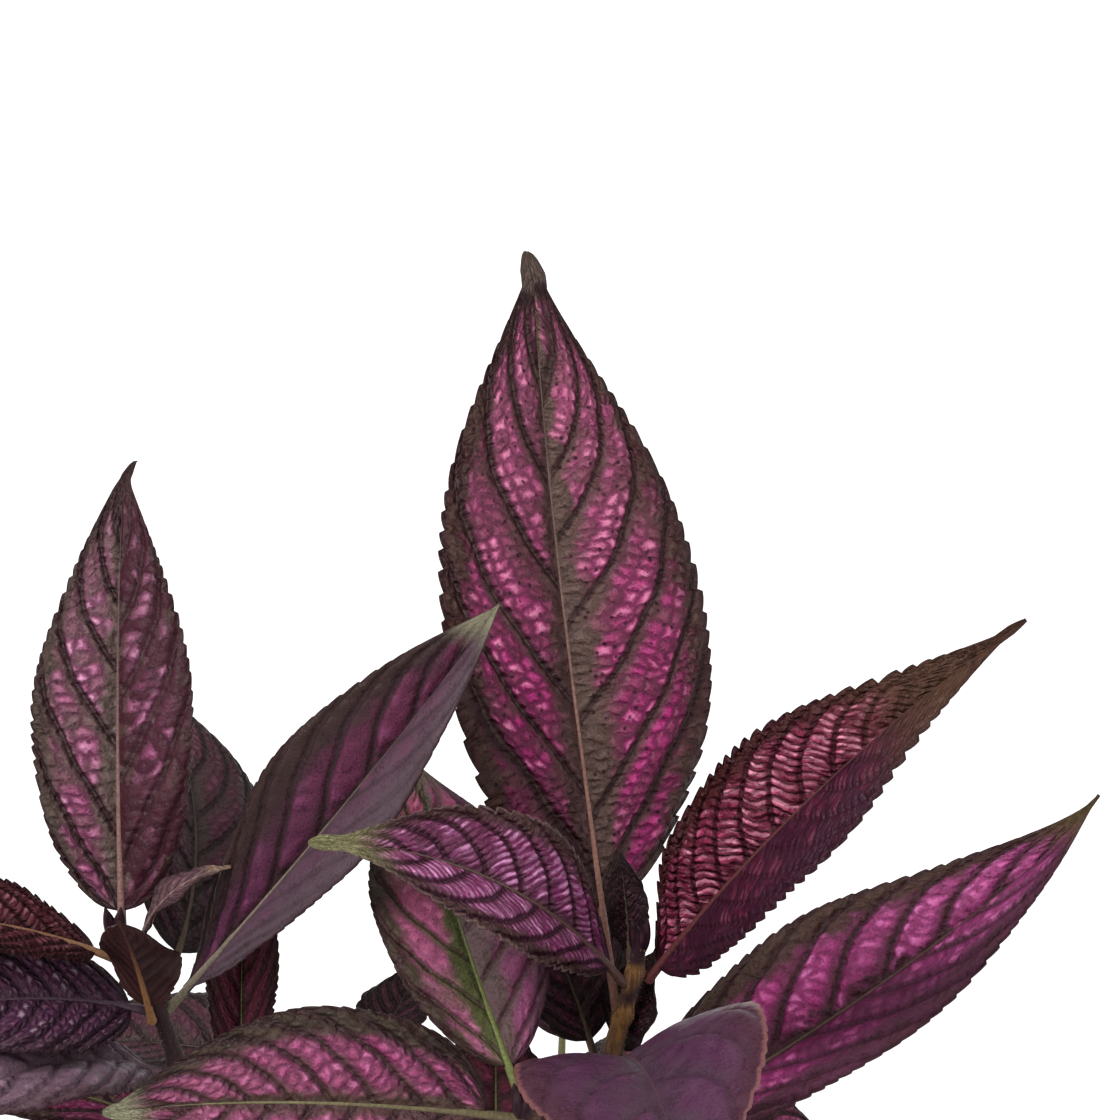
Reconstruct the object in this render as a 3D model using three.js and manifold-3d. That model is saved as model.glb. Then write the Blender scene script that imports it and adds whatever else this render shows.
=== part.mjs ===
// A potted Persian shield: a plain pot, the soil in it, five leafy stems and their leaves.
// Millimetres, +Z up. The origin is the middle of the pot's underside, on the ground.
import * as THREE from 'three';
import { mergeVertices } from 'three/addons/utils/BufferGeometryUtils.js';
import Module from 'manifold-3d';

const wasm = await Module();
wasm.setup();

const DEGREE = Math.PI / 180;
const GAP = 0.3; // air between two pieces that rest on each other

const POT = {
  height: 120,
  footRadius: 47, // outer edge of the ring it stands on
  footWidth: 6,
  footDepth: 3, // how far the ring and the middle pad stand proud of the underside
  padRadius: 13,
  floor: 3,
  shoulderRadius: 63, // just under the rim
  rimRadius: 68,
  rimDepth: 15,
  wall: 2.4,
  sides: 40,
};
const DRAIN = { count: 6, radius: 4, ring: 27, sides: 10 };
const DRILL_LENGTH = 60; // longer than any hole that is cut with it
const SOIL = { edge: 102.5, mound: 5, rings: 4, sides: 28, lump: 1.6, seed: 7 };
const ROOT_DEPTH = 26; // how far a stem reaches into the soil

// Each stem passes its nodes, from the lowest up. A pair of leaves, or one of a pair, grows at each.
const STEMS = {
  right: {
    soil: [19, -4],
    nodes: [[27, -4, 142], [36, -4, 176], [47, -3, 211], [51, -2, 227], [54, -1, 240]],
    tip: [55, -1, 250],
    radius: [3.2, 1.9],
  },
  left: {
    soil: [-18, -1],
    nodes: [[-31, -1, 146], [-48, -1, 178], [-64, -1, 210], [-68, 0, 229], [-76, 1, 245]],
    tip: [-77, 1, 252],
    radius: [3.1, 1.7],
  },
  front: {
    soil: [6, -28],
    nodes: [[12, -34, 150], [19, -40, 192], [28, -45, 231]],
    tip: [26, -47, 236],
    radius: [2.9, 1.8],
  },
  back_left: {
    soil: [-12, 28],
    nodes: [[-16, 33, 135], [-19, 39, 150], [-22, 44, 163]],
    tip: [-23, 46, 168],
    radius: [2.8, 1.7],
  },
  back_right: {
    soil: [22, 26],
    nodes: [[27, 32, 133], [31, 38, 148], [35, 43, 162]],
    tip: [36, 45, 167],
    radius: [2.8, 1.7],
  },
};
const STEM = { sides: 8, swell: 1.3, swellLength: 4, bud: 7 }; // a node is swollen; buds end a stem

// How a leaf is held. Angles are in degrees: heading is its compass bearing from +X towards +Y,
// rise the slope it leaves the stem at, arch the change of slope by its tip, sweep the change of
// heading, roll and twist its turn about its own midrib, left side up, fold the rise of each half,
// hook where the tip starts to bend and how far it bends to the left, nib half the tip's least width.
const LEAF = {
  petiole: 16, arch: -30, sweep: 0, roll: 0, twist: 0, fold: 18, belly: 0.45, taper: 0.55, point: 0.65,
  camber: 0.06, wave: 1.2, waves: 2.5, hook: [0.9, 0], nib: 0, rows: 14,
};
const LEAVES = {
  right_5a: {
    stem: 'right', node: 4, heading: -6, rise: 59, arch: -18.5, sweep: 8, long: 137, wide: 45,
    roll: 32, twist: 4, fold: 23, rows: 15, petiole: 3, belly: 0.37, taper: 0.55, point: 0.76,
  },
  right_5b: {
    stem: 'right', node: 4, heading: 204, rise: 57, arch: -43, sweep: -1, long: 105, wide: 37,
    roll: -42, fold: 18, rows: 14, petiole: 5, belly: 0.42, taper: 0.7, point: 0.76,
  },
  right_5c: {
    stem: 'right', node: 4, petiole: 4, heading: 105, rise: 72, arch: -10, long: 30, wide: 12, rows: 7,
  },
  right_4a: {
    stem: 'right', node: 3, heading: 110.2, rise: 65, arch: -26, sweep: -15.4, long: 199, wide: 78,
    roll: 15, twist: 6, fold: 10, rows: 20, petiole: 26, belly: 0.42, taper: 0.44, point: 0.69,
    hook: [0.9, 0.6], nib: 2.4,
  },
  right_4b: {
    stem: 'right', node: 2, petiole: 3, heading: 40, rise: 74, arch: -14, long: 32, wide: 20, rows: 8,
  },
  right_3: {
    stem: 'right', node: 2, heading: -80, rise: 53, arch: -76, sweep: -2, long: 127, wide: 62, roll: 8,
    twist: 7, fold: 13, rows: 16, petiole: 6, belly: 0.47, taper: 0.64, point: 0.66,
  },
  right_3b: {
    stem: 'right', node: 2, petiole: 5, heading: 128, rise: 60, arch: -20, long: 60, wide: 36, rows: 9,
  },
  right_2a: {
    stem: 'right', node: 1, heading: 14, rise: 24.3, arch: -3, sweep: 25, long: 176, wide: 55, roll: 9,
    twist: -2, fold: 24, rows: 16, belly: 0.37, taper: 0.53, point: 0.67, hook: [0.8, 2.4],
  },
  right_2b: { stem: 'right', node: 1, heading: -38, rise: 22, arch: -55, long: 105, wide: 40, rows: 11 },
  right_1: { stem: 'right', node: 0, heading: -12, rise: 20, arch: -55, long: 120, wide: 44, rows: 11 },
  left_5a: {
    stem: 'left', node: 4, heading: 94, rise: 58, arch: -25, sweep: -3, long: 127, wide: 44, roll: -9,
    fold: 14, rows: 16, petiole: 8, belly: 0.39, taper: 0.46, point: 0.61, hook: [0.93, -3], nib: 1.5,
  },
  left_5b: {
    stem: 'left', node: 4, heading: 202, rise: 37.5, arch: -33, sweep: 3, long: 78, wide: 26,
    roll: -15, twist: 2, fold: 14, rows: 12, belly: 0.46, taper: 0.46, petiole: 4,
  },
  left_5c: {
    stem: 'left', node: 4, heading: 11, rise: 72, arch: -72, long: 36, wide: 9, roll: 6, twist: 2,
    fold: 15, rows: 8, petiole: 6,
  },
  left_4a: {
    stem: 'left', node: 3, heading: 8, rise: 50, arch: 5, sweep: 4, long: 139, wide: 42, roll: 35,
    twist: 5, fold: 31, rows: 18, petiole: 5, belly: 0.52, taper: 1.0, point: 0.5,
  },
  left_4b: {
    stem: 'left', node: 3, heading: 78, rise: 8, arch: 7, sweep: 42, long: 127, wide: 45, roll: 24,
    twist: 13, fold: 13, rows: 13, belly: 0.43, taper: 0.56, point: 0.84,
  },
  left_4c: {
    stem: 'left', node: 3, heading: 212, rise: 33, arch: -33, sweep: -4, long: 71, wide: 34, roll: -27,
    fold: 6, rows: 12, petiole: 4, belly: 0.44, taper: 0.44,
  },
  left_4d: {
    stem: 'left', node: 3, petiole: 4, heading: 256, rise: 76, arch: -12, long: 42, wide: 22, rows: 8,
  },
  left_3a: {
    stem: 'left', node: 2, heading: 224, rise: 42.5, arch: -60, sweep: -1, long: 83, wide: 35,
    roll: -13, fold: 13, rows: 13, belly: 0.44, taper: 0.54, petiole: 6,
  },
  left_2c: {
    stem: 'left', node: 1, heading: 97, rise: 49, arch: -24, sweep: -10, long: 82, wide: 24, roll: 3,
    twist: 5, fold: 33, rows: 12, petiole: 14, belly: 0.5, taper: 0.62,
  },
  left_2a: { stem: 'left', node: 1, heading: 170, rise: 26, arch: -55, long: 118, wide: 44, rows: 11 },
  left_2b: { stem: 'left', node: 1, heading: 235, rise: 20, arch: -52, long: 112, wide: 42, rows: 11 },
  left_1: { stem: 'left', node: 0, heading: 200, rise: 16, arch: -55, long: 112, wide: 42, rows: 10 },
  front_3a: {
    stem: 'front', node: 2, heading: 116, rise: 33, arch: -19, sweep: -15, long: 100, wide: 44.5,
    roll: 3, fold: 9, rows: 15, petiole: 11, belly: 0.48, taper: 0.56, point: 0.55,
  },
  front_3b: {
    stem: 'front', node: 2, heading: 193, rise: 19, arch: -30, sweep: -14, long: 100, wide: 49.5,
    roll: -58, twist: -7, fold: 13, rows: 14, petiole: 8, belly: 0.42, taper: 0.48, point: 0.59,
  },
  front_2a: { stem: 'front', node: 1, heading: -108, rise: 20, arch: -55, long: 112, wide: 44, rows: 11 },
  front_2b: { stem: 'front', node: 1, heading: -40, rise: 15, arch: -55, long: 104, wide: 40, rows: 10 },
  front_2c: {
    stem: 'front', node: 1, petiole: 8, heading: 90, rise: 70, arch: -12, long: 54, wide: 32, rows: 9,
  },
  front_1a: { stem: 'front', node: 0, heading: -72, rise: 14, arch: -52, long: 105, wide: 42, rows: 10 },
  front_1b: { stem: 'front', node: 0, heading: -140, rise: 14, arch: -52, long: 104, wide: 40, rows: 10 },
  back_left_3a: {
    stem: 'back_left', node: 2, heading: 104, rise: -40, arch: -12, long: 66, wide: 32, rows: 10,
  },
  back_left_3b: {
    stem: 'back_left', node: 2, heading: 165, rise: 12, arch: -40, long: 95, wide: 38, rows: 11,
  },
  back_left_3c: {
    stem: 'back_left', node: 2, petiole: 6, heading: 66, rise: 24, arch: -8, long: 42, wide: 22,
    rows: 8,
  },
  back_left_2a: {
    stem: 'back_left', node: 1, heading: 154, rise: 2, arch: -42, long: 100, wide: 38, rows: 11,
  },
  back_left_2b: { stem: 'back_left', node: 1, heading: 58, rise: -12, arch: -34, long: 56, wide: 27, rows: 9 },
  back_left_1: {
    stem: 'back_left', node: 0, heading: 172, rise: -8, arch: -40, long: 100, wide: 40, rows: 10,
  },
  back_right_3a: {
    stem: 'back_right', node: 2, heading: 88, rise: 22, arch: -55, long: 105, wide: 44, rows: 11,
  },
  back_right_3b: {
    stem: 'back_right', node: 2, heading: 3, rise: -6, arch: -30, long: 82, wide: 34, rows: 10,
  },
  back_right_2a: {
    stem: 'back_right', node: 1, heading: 54, rise: -10, arch: -40, long: 100, wide: 40, rows: 11,
  },
  back_right_2b: {
    stem: 'back_right', node: 1, heading: 100, rise: -26, arch: -12, long: 60, wide: 28, rows: 9,
  },
  back_right_1: {
    stem: 'back_right', node: 0, heading: 34, rise: -12, arch: -35, long: 96, wide: 38, rows: 10,
  },
};

const TOOTH_DEPTH = 0.035; // share of a leaf's width
const BLADE = { rim: 0.6, middle: 0.75, rib: [2.3, 1.0], stalk: 1.25, tip: 0.5 };
const RIB_ABOVE = 0.3;
const STEPS = 40; // steps along a midrib while its direction is summed

function mix(a, b, share) {
  return a + (b - a) * share;
}

function smooth(low, high, value) {
  return THREE.MathUtils.smoothstep(value, low, high);
}

function stemPoint(stem, node) {
  return new THREE.Vector3(...stem.nodes[node]);
}

function stemRadius(stem, node) {
  return mix(stem.radius[0], stem.radius[1], (node + 1) / (stem.nodes.length + 1)) * STEM.swell;
}

// Half width of a blade from its foot, 0, to its tip, 1, as a share of its widest. It is widest at
// belly; a larger taper narrows the foot and a larger point draws out the tip.
function outline(along, { belly, taper, point }) {
  if (along < belly) return Math.sin((Math.PI / 2) * (along / belly)) ** taper;
  return ((1 + Math.cos((Math.PI * (along - belly)) / (1 - belly))) / 2) ** point;
}

// The midrib of a leaf that points along +X: places and frames at even steps.
function midrib(leaf) {
  const line = [];
  const at = new THREE.Vector3();
  for (let step = 0; step <= STEPS; step += 1) {
    const t = step / STEPS;
    const slope = (leaf.rise + leaf.arch * t ** 1.3) * DEGREE;
    const turn = leaf.sweep * t * DEGREE;
    const roll = (leaf.roll + leaf.twist * t) * DEGREE;
    const along = new THREE.Vector3(
      Math.cos(slope) * Math.cos(turn), Math.cos(slope) * Math.sin(turn), Math.sin(slope));
    const side = new THREE.Vector3(-Math.sin(turn), Math.cos(turn), 0);
    side.applyAxisAngle(along, roll);
    const up = new THREE.Vector3().crossVectors(along, side);
    line.push({ at: at.clone(), along, side, up });
    at.addScaledVector(along, leaf.long / STEPS);
  }
  return line;
}

// A function from a place on a leaf, t along it and v across it from -1 to 1, to a point and its normal.
function leafSurface(leaf) {
  const line = midrib(leaf);
  const foot = leaf.petiole / leaf.long;
  const halfWidth = (t) => {
    if (t <= foot) return BLADE.stalk;
    const blade = outline((t - foot) / (1 - foot), leaf) * (leaf.wide / 2);
    const nib = leaf.nib * (1 - smooth(0.96, 1, t)) * smooth(0.7, 0.9, t);
    return Math.max(blade, nib, mix(BLADE.stalk, BLADE.tip, t));
  };
  const place = (t, v) => {
    const step = Math.min(STEPS - 1, Math.floor(t * STEPS));
    const share = t * STEPS - step;
    const a = line[step];
    const b = line[step + 1];
    const side = a.side.clone().lerp(b.side, share).normalize();
    const up = a.up.clone().lerp(b.up, share).normalize();
    const width = halfWidth(t);
    const blade = smooth(foot, foot + 0.2, t);
    const fold = leaf.fold * DEGREE * blade;
    const out = Math.abs(v);
    const ripple = leaf.wave * blade * Math.sin(2 * Math.PI * leaf.waves * t + (v > 0 ? 0 : 1.9));
    const height = width * (Math.sin(fold) * out + leaf.camber * 4 * out * (1 - out) * blade)
      + ripple * out * out * Math.min(1, (2 * width) / leaf.wide);
    const bent = leaf.hook[1] * Math.max(0, (t - leaf.hook[0]) / (1 - leaf.hook[0])) ** 2;
    return a.at.clone().lerp(b.at, share)
      .addScaledVector(side, width * Math.cos(fold) * v + bent)
      .addScaledVector(up, height);
  };
  const upAt = (t) => line[Math.min(STEPS, Math.round(t * STEPS))].up;
  return { foot, halfWidth, place, upAt };
}

// The closed solid of a leaf: a toothed blade on its stalk, with a rib that is thickest at the foot.
function leafGeometry(leaf) {
  const { foot, halfWidth, place, upAt } = leafSurface(leaf);
  const positions = [];
  const add = (t, v, thick, above) => {
    const point = place(t, v);
    const up = upAt(t);
    positions.push(...point.clone().addScaledVector(up, above).toArray());
    positions.push(...point.clone().addScaledVector(up, above - thick).toArray());
    return positions.length / 3 - 2; // the upper vertex; the lower one follows it
  };
  const rowAt = (t) => {
    const blade = smooth(foot, foot + 0.15, t);
    const rib = mix(BLADE.rib[0], BLADE.rib[1], t);
    const rim = mix(rib, BLADE.rim, blade);
    const middle = mix(rib, BLADE.middle, blade);
    return {
      left: add(t, 1, rim, rim / 2), leftMiddle: add(t, 0.5, middle, middle / 2),
      rib: add(t, 0, rib, RIB_ABOVE),
      rightMiddle: add(t, -0.5, middle, middle / 2), right: add(t, -1, rim, rim / 2),
    };
  };
  const rows = [rowAt(0)];
  const notches = [];
  for (let k = 0; k < leaf.rows; k += 1) {
    const here = foot + (1 - foot) * (k / leaf.rows);
    rows.push(rowAt(here));
    if (k === 0) notches.push(null);
    const t = foot + (1 - foot) * ((k + 0.3) / leaf.rows);
    const cut = TOOTH_DEPTH * leaf.wide * smooth(0, 0.2, k / leaf.rows) * smooth(1, 0.8, k / leaf.rows);
    const v = 1 - Math.min(0.3, cut / halfWidth(t));
    notches.push([add(t, v, BLADE.rim, BLADE.rim / 2), add(t, -v, BLADE.rim, BLADE.rim / 2)]);
  }
  const end = add(1, 0, BLADE.rib[1], RIB_ABOVE);

  const index = [];
  const face = (a, b, c) => index.push(a, b, c, a + 1, c + 1, b + 1); // above, and turned round below
  const rim = (a, b) => index.push(a, b, a + 1, b, b + 1, a + 1);
  rows.forEach((row, k) => {
    const next = rows[k + 1];
    if (!next) return;
    face(row.rib, next.rib, row.leftMiddle);
    face(next.rib, next.leftMiddle, row.leftMiddle);
    face(row.rib, row.rightMiddle, next.rib);
    face(next.rib, row.rightMiddle, next.rightMiddle);
    const notch = notches[k];
    if (!notch) {
      face(row.leftMiddle, next.leftMiddle, row.left);
      face(next.leftMiddle, next.left, row.left);
      face(row.rightMiddle, row.right, next.rightMiddle);
      face(next.rightMiddle, row.right, next.right);
      rim(row.left, next.left);
      rim(next.right, row.right);
      return;
    }
    const [left, right] = notch;
    face(row.leftMiddle, left, row.left);
    face(row.leftMiddle, next.leftMiddle, left);
    face(next.leftMiddle, next.left, left);
    face(row.rightMiddle, row.right, right);
    face(row.rightMiddle, right, next.rightMiddle);
    face(next.rightMiddle, right, next.right);
    rim(row.left, left);
    rim(left, next.left);
    rim(right, row.right);
    rim(next.right, right);
  });
  const last = rows[rows.length - 1];
  const [left, right] = notches[notches.length - 1];
  face(last.leftMiddle, left, last.left);
  face(last.leftMiddle, end, left);
  face(last.rib, end, last.leftMiddle);
  face(last.rightMiddle, last.right, right);
  face(last.rightMiddle, right, end);
  face(last.rib, last.rightMiddle, end);
  rim(last.left, left);
  rim(left, end);
  rim(right, last.right);
  rim(end, right);
  const first = rows[0];
  const across = [first.left, first.leftMiddle, first.rib, first.rightMiddle, first.right];
  across.slice(1).forEach((b, k) => rim(b, across[k]));

  const geometry = new THREE.BufferGeometry();
  geometry.setAttribute('position', new THREE.Float32BufferAttribute(positions, 3));
  geometry.setIndex(index);
  geometry.computeVertexNormals();
  return geometry;
}

// One closed body through rings of points, each ring anticlockwise seen from above, lowest ring first.
function loft(rings) {
  const sides = rings[0].length;
  const points = rings.flat();
  const centre = (ring) => ring.reduce((sum, p) => sum.add(p), new THREE.Vector3()).divideScalar(sides);
  points.push(centre(rings[0]), centre(rings[rings.length - 1]));
  const index = [];
  for (let side = 0; side < sides; side += 1) {
    const next = (side + 1) % sides;
    index.push(points.length - 2, next, side);
    rings.slice(1).forEach((ring, k) => {
      const low = k * sides;
      const high = low + sides;
      index.push(low + side, low + next, high + next, low + side, high + next, high + side);
    });
    const top = (rings.length - 1) * sides;
    index.push(points.length - 1, top + side, top + next);
  }
  const geometry = new THREE.BufferGeometry().setFromPoints(points);
  geometry.setIndex(index);
  return geometry;
}

function circle(x, y, z, radius, sides) {
  return Array.from({ length: sides }, (_, k) => {
    const angle = (2 * Math.PI * k) / sides;
    return new THREE.Vector3(x + radius * Math.cos(angle), y + radius * Math.sin(angle), z);
  });
}

// A closed solid from a closed geometry, once the corners that its faces share are merged.
function toSolid(geometry) {
  geometry.deleteAttribute('normal');
  geometry.deleteAttribute('uv');
  const merged = mergeVertices(geometry);
  return new wasm.Manifold(new wasm.Mesh({
    numProp: 3,
    vertProperties: new Float32Array(merged.getAttribute('position').array),
    triVerts: new Uint32Array(merged.getIndex().array),
  }));
}

function toGeometry(solid) {
  const mesh = solid.getMesh();
  const geometry = new THREE.BufferGeometry();
  geometry.setAttribute('position', new THREE.BufferAttribute(mesh.vertProperties, 3));
  geometry.setIndex(new THREE.BufferAttribute(mesh.triVerts, 1));
  geometry.computeVertexNormals();
  return geometry;
}

// An upright cylinder to cut a hole with, from its lowest height up; its first corner is towards +X.
function drill(x, y, low, radius, sides) {
  const geometry = new THREE.CylinderGeometry(
    radius, radius, DRILL_LENGTH, sides, 1, false, Math.PI / 2);
  geometry.rotateX(Math.PI / 2);
  geometry.translate(x, y, low + DRILL_LENGTH / 2);
  return toSolid(geometry);
}

// The pot's section, from the middle of its underside round to the middle of its floor, is turned
// about the pot's axis and pierced by the drain holes.
function potGeometry() {
  const { height, footRadius, footWidth, footDepth, padRadius, shoulderRadius, rimRadius } = POT;
  const step = height - POT.rimDepth;
  const inside = footDepth + POT.floor;
  const outline = [
    [0, 0], [padRadius, 0], [padRadius + 2, footDepth], [footRadius - footWidth - 1, footDepth],
    [footRadius - footWidth, 0], [footRadius - 0.8, 0], [footRadius, 0.8], [shoulderRadius, step],
    [rimRadius - 1, step + 0.6], [rimRadius + 0.6, height - 1], [rimRadius, height],
    [rimRadius - POT.wall + 0.4, height], [rimRadius - POT.wall - 1, step + 1.8],
    [shoulderRadius - POT.wall, step - 0.6], [footRadius - POT.wall + 1.4, inside + 2],
    [footRadius - POT.wall - 1, inside], [0, inside],
  ];
  const turned = new THREE.LatheGeometry(outline.map(([r, z]) => new THREE.Vector2(r, z)), POT.sides);
  let pot = toSolid(turned.rotateX(Math.PI / 2));
  for (const { x, y } of circle(0, 0, 0, DRAIN.ring, DRAIN.count)) {
    pot = pot.subtract(drill(x, y, -DRILL_LENGTH / 2, DRAIN.radius, DRAIN.sides));
  }
  return toGeometry(pot);
}

// The soil fills the pot to just under its rim, a little mounded and lumpy, with a hole for each stem.
function soilGeometry() {
  const inside = POT.footDepth + POT.floor;
  const step = POT.height - POT.rimDepth;
  const lowRadius = POT.footRadius - POT.wall + 1.4;
  const share = (SOIL.edge - inside - 2) / (step - 0.6 - inside - 2);
  const topRadius = mix(lowRadius, POT.shoulderRadius - POT.wall, share) - GAP;
  const rings = [
    circle(0, 0, inside + GAP, lowRadius - 2.6 - GAP, SOIL.sides),
    circle(0, 0, inside + 2 + GAP, lowRadius - GAP - 0.1, SOIL.sides),
  ];
  let seed = SOIL.seed;
  const random = () => {
    seed = (seed * 16807) % 2147483647;
    return seed / 2147483647 - 0.5;
  };
  for (let ring = 0; ring <= SOIL.rings; ring += 1) {
    const out = 1 - ring / (SOIL.rings + 0.6);
    const height = SOIL.edge + SOIL.mound * (1 - out * out);
    const points = circle(0, 0, height, topRadius * out, SOIL.sides);
    points.forEach((p) => { p.z += SOIL.lump * random() * (ring ? 1 : 0.5); });
    rings.push(points);
  }
  let soil = toSolid(loft(rings));
  for (const stem of Object.values(STEMS)) {
    const [x, y] = stem.soil;
    soil = soil.subtract(
      drill(x, y, SOIL.edge - ROOT_DEPTH - GAP, stem.radius[0] + GAP, STEM.sides));
  }
  return toGeometry(soil);
}

// A stem stands upright in the soil, leans from node to node and ends in a pair of buds.
function stemGeometry(stem) {
  const [x, y] = stem.soil;
  const places = [
    [x, y, SOIL.edge - ROOT_DEPTH, stem.radius[0]],
    [x, y, SOIL.edge + SOIL.mound + 6, stem.radius[0]],
  ];
  stem.nodes.forEach((node, k) => {
    const lower = k ? stem.nodes[k - 1] : [x, y, SOIL.edge + SOIL.mound];
    const upper = stem.nodes[k + 1] ?? stem.tip;
    const wide = stemRadius(stem, k);
    const plain = wide / STEM.swell;
    const back = STEM.swellLength / (node[2] - lower[2]);
    const on = STEM.swellLength / (upper[2] - node[2]);
    places.push([...node.map((value, axis) => mix(value, lower[axis], back)), plain]);
    places.push([...node, wide]);
    places.push([...node.map((value, axis) => mix(value, upper[axis], on)), plain]);
  });
  places.push([...stem.tip, stem.radius[1] * 0.8]);
  let solid = toSolid(loft(places.map(([px, py, pz, r]) => circle(px, py, pz, r, STEM.sides))));
  for (const way of [-1, 1]) {
    const [tx, ty, tz] = stem.tip;
    const rings = [[-3, 0.9], [STEM.bud * 0.35, 1.7], [STEM.bud * 0.75, 1.1], [STEM.bud, 0.3]];
    solid = solid.add(toSolid(loft(rings.map(([up, r]) => (
      circle(tx + way * (0.9 + 0.16 * up), ty, tz + up, r, 6))))));
  }
  return toGeometry(solid);
}

const materials = {
  leaf: new THREE.MeshStandardMaterial({ color: 0x7a2a5c, roughness: 0.45, metalness: 0.1 }),
  stem: new THREE.MeshStandardMaterial({ color: 0x8a6a4a, roughness: 0.6, metalness: 0 }),
  pot: new THREE.MeshStandardMaterial({ color: 0xa9603c, roughness: 0.75, metalness: 0 }),
  soil: new THREE.MeshStandardMaterial({ color: 0x2e211a, roughness: 0.95, metalness: 0 }),
};

const plant = new THREE.Group();

function add(name, geometry, material) {
  const mesh = new THREE.Mesh(geometry, material);
  mesh.name = name;
  plant.add(mesh);
  return mesh;
}

add('pot', potGeometry(), materials.pot);
add('soil', soilGeometry(), materials.soil);
for (const [name, stem] of Object.entries(STEMS)) add(`stem_${name}`, stemGeometry(stem), materials.stem);
for (const [name, chosen] of Object.entries(LEAVES)) {
  const leaf = { ...LEAF, ...chosen };
  const stem = STEMS[leaf.stem];
  const mesh = add(`leaf_${name}`, leafGeometry(leaf), materials.leaf);
  const heading = leaf.heading * DEGREE;
  // The foot's cut end has ten corners; the nearest to the stem is set just clear of it.
  const foot = Array.from({ length: 10 }, (_, k) => mesh.geometry.getAttribute('position').getX(k));
  const clear = stemRadius(stem, leaf.node) + GAP - Math.min(...foot);
  mesh.position.copy(stemPoint(stem, leaf.node))
    .add(new THREE.Vector3(Math.cos(heading), Math.sin(heading), 0).multiplyScalar(clear));
  mesh.rotation.z = heading;
}

export default plant;
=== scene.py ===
import math
import random

import bpy
import numpy as np
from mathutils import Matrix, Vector, noise


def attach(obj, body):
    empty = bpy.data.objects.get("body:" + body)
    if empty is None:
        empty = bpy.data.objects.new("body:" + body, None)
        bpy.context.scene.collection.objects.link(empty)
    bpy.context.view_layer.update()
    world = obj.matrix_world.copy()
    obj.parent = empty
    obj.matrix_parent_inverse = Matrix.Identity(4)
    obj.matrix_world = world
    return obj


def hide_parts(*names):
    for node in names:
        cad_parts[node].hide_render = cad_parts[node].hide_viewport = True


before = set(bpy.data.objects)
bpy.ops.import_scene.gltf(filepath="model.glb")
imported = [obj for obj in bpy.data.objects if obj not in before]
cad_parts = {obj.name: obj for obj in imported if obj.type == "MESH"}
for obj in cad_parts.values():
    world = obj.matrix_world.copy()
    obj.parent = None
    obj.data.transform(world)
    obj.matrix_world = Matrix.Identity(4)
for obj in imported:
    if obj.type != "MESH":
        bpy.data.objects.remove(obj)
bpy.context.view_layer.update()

MM = 0.001

POT = {
    "height": 120, "foot_radius": 47, "foot_width": 6, "foot_depth": 3, "pad_radius": 13, "floor": 3,
    "shoulder_radius": 63, "rim_radius": 68, "rim_depth": 15, "wall": 2.4, "sides": 96,
}
DRAIN = {"count": 6, "radius": 4, "ring": 27}
SOIL = {"edge": 102.5, "mound": 5, "lump": 1.6, "crumbs": 520, "seed": 7}
ROOT_DEPTH = 26
GAP = 0.3  # between two pieces that rest on each other

# Each stem: where it leaves the soil, its nodes from the lowest up, its tip and its two radii.
STEMS = {
    "right": {
        "soil": (19, -4),
        "nodes": [(27, -4, 142), (36, -4, 176), (47, -3, 211), (51, -2, 227), (54, -1, 240)],
        "tip": (55, -1, 250), "radius": (3.2, 1.9),
    },
    "left": {
        "soil": (-18, -1),
        "nodes": [(-31, -1, 146), (-48, -1, 178), (-64, -1, 210), (-68, 0, 229), (-76, 1, 245)],
        "tip": (-77, 1, 252), "radius": (3.1, 1.7),
    },
    "front": {
        "soil": (6, -28),
        "nodes": [(12, -34, 150), (19, -40, 192), (28, -45, 231)],
        "tip": (26, -47, 236), "radius": (2.9, 1.8),
    },
    "back_left": {
        "soil": (-12, 28),
        "nodes": [(-16, 33, 135), (-19, 39, 150), (-22, 44, 163)],
        "tip": (-23, 46, 168), "radius": (2.8, 1.7),
    },
    "back_right": {
        "soil": (22, 26),
        "nodes": [(27, 32, 133), (31, 38, 148), (35, 43, 162)],
        "tip": (36, 45, 167), "radius": (2.8, 1.7),
    },
}
# At a node the stem is thicker by swell, which fades over reach; step is the pitch of the stem's rings.
NODE = {"swell": 0.3, "reach": 4.5, "step": 1.6}
HAIR = {"count": 900, "first_ring": 18, "long": (0.5, 1.2), "half_width": 0.055}
BUD = {"low": -3, "high": 7, "radius": 1.75, "least": 0.15, "rings": 12}

# How a leaf is held, in degrees and millimetres: heading is its bearing from +X towards +Y, rise its
# slope at the stem, arch the change of slope by its tip, sweep the change of heading, roll and twist
# its turn about its own midrib, left side up, and fold the rise of each half. long counts its stalk,
# the petiole; belly, taper and point shape its outline, camber and wave its surface, hook says where
# the tip bends and how far, and nib is half the tip's least width. Then comes its skin: pairs of side
# veins, how they lean out, the length, rows and slant of the cells between them, their relief, and the
# number and depth of its teeth. mesh is the pitch of its grid, and forks names a row of FORKS.
# A leaf's name gives its stem, and the node it grows at, counted from the lowest, unless node does.
LEAF = {
    "petiole": 16, "arch": -30, "sweep": 0, "roll": 0, "twist": 0, "fold": 18, "belly": 0.45,
    "taper": 0.55, "point": 0.65, "camber": 0.06, "wave": 1.2, "waves": 2.5, "hook": (0.9, 0),
    "nib": 0, "look": "deep", "pairs": 8, "lean": (0.2, 0.15), "cell": 3.0, "slant": 30, "rows": 3,
    "relief": 0.8, "relief_right": 1, "teeth": 26, "tooth": 0.9, "mesh": 1.1, "forks": "",
}
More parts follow.
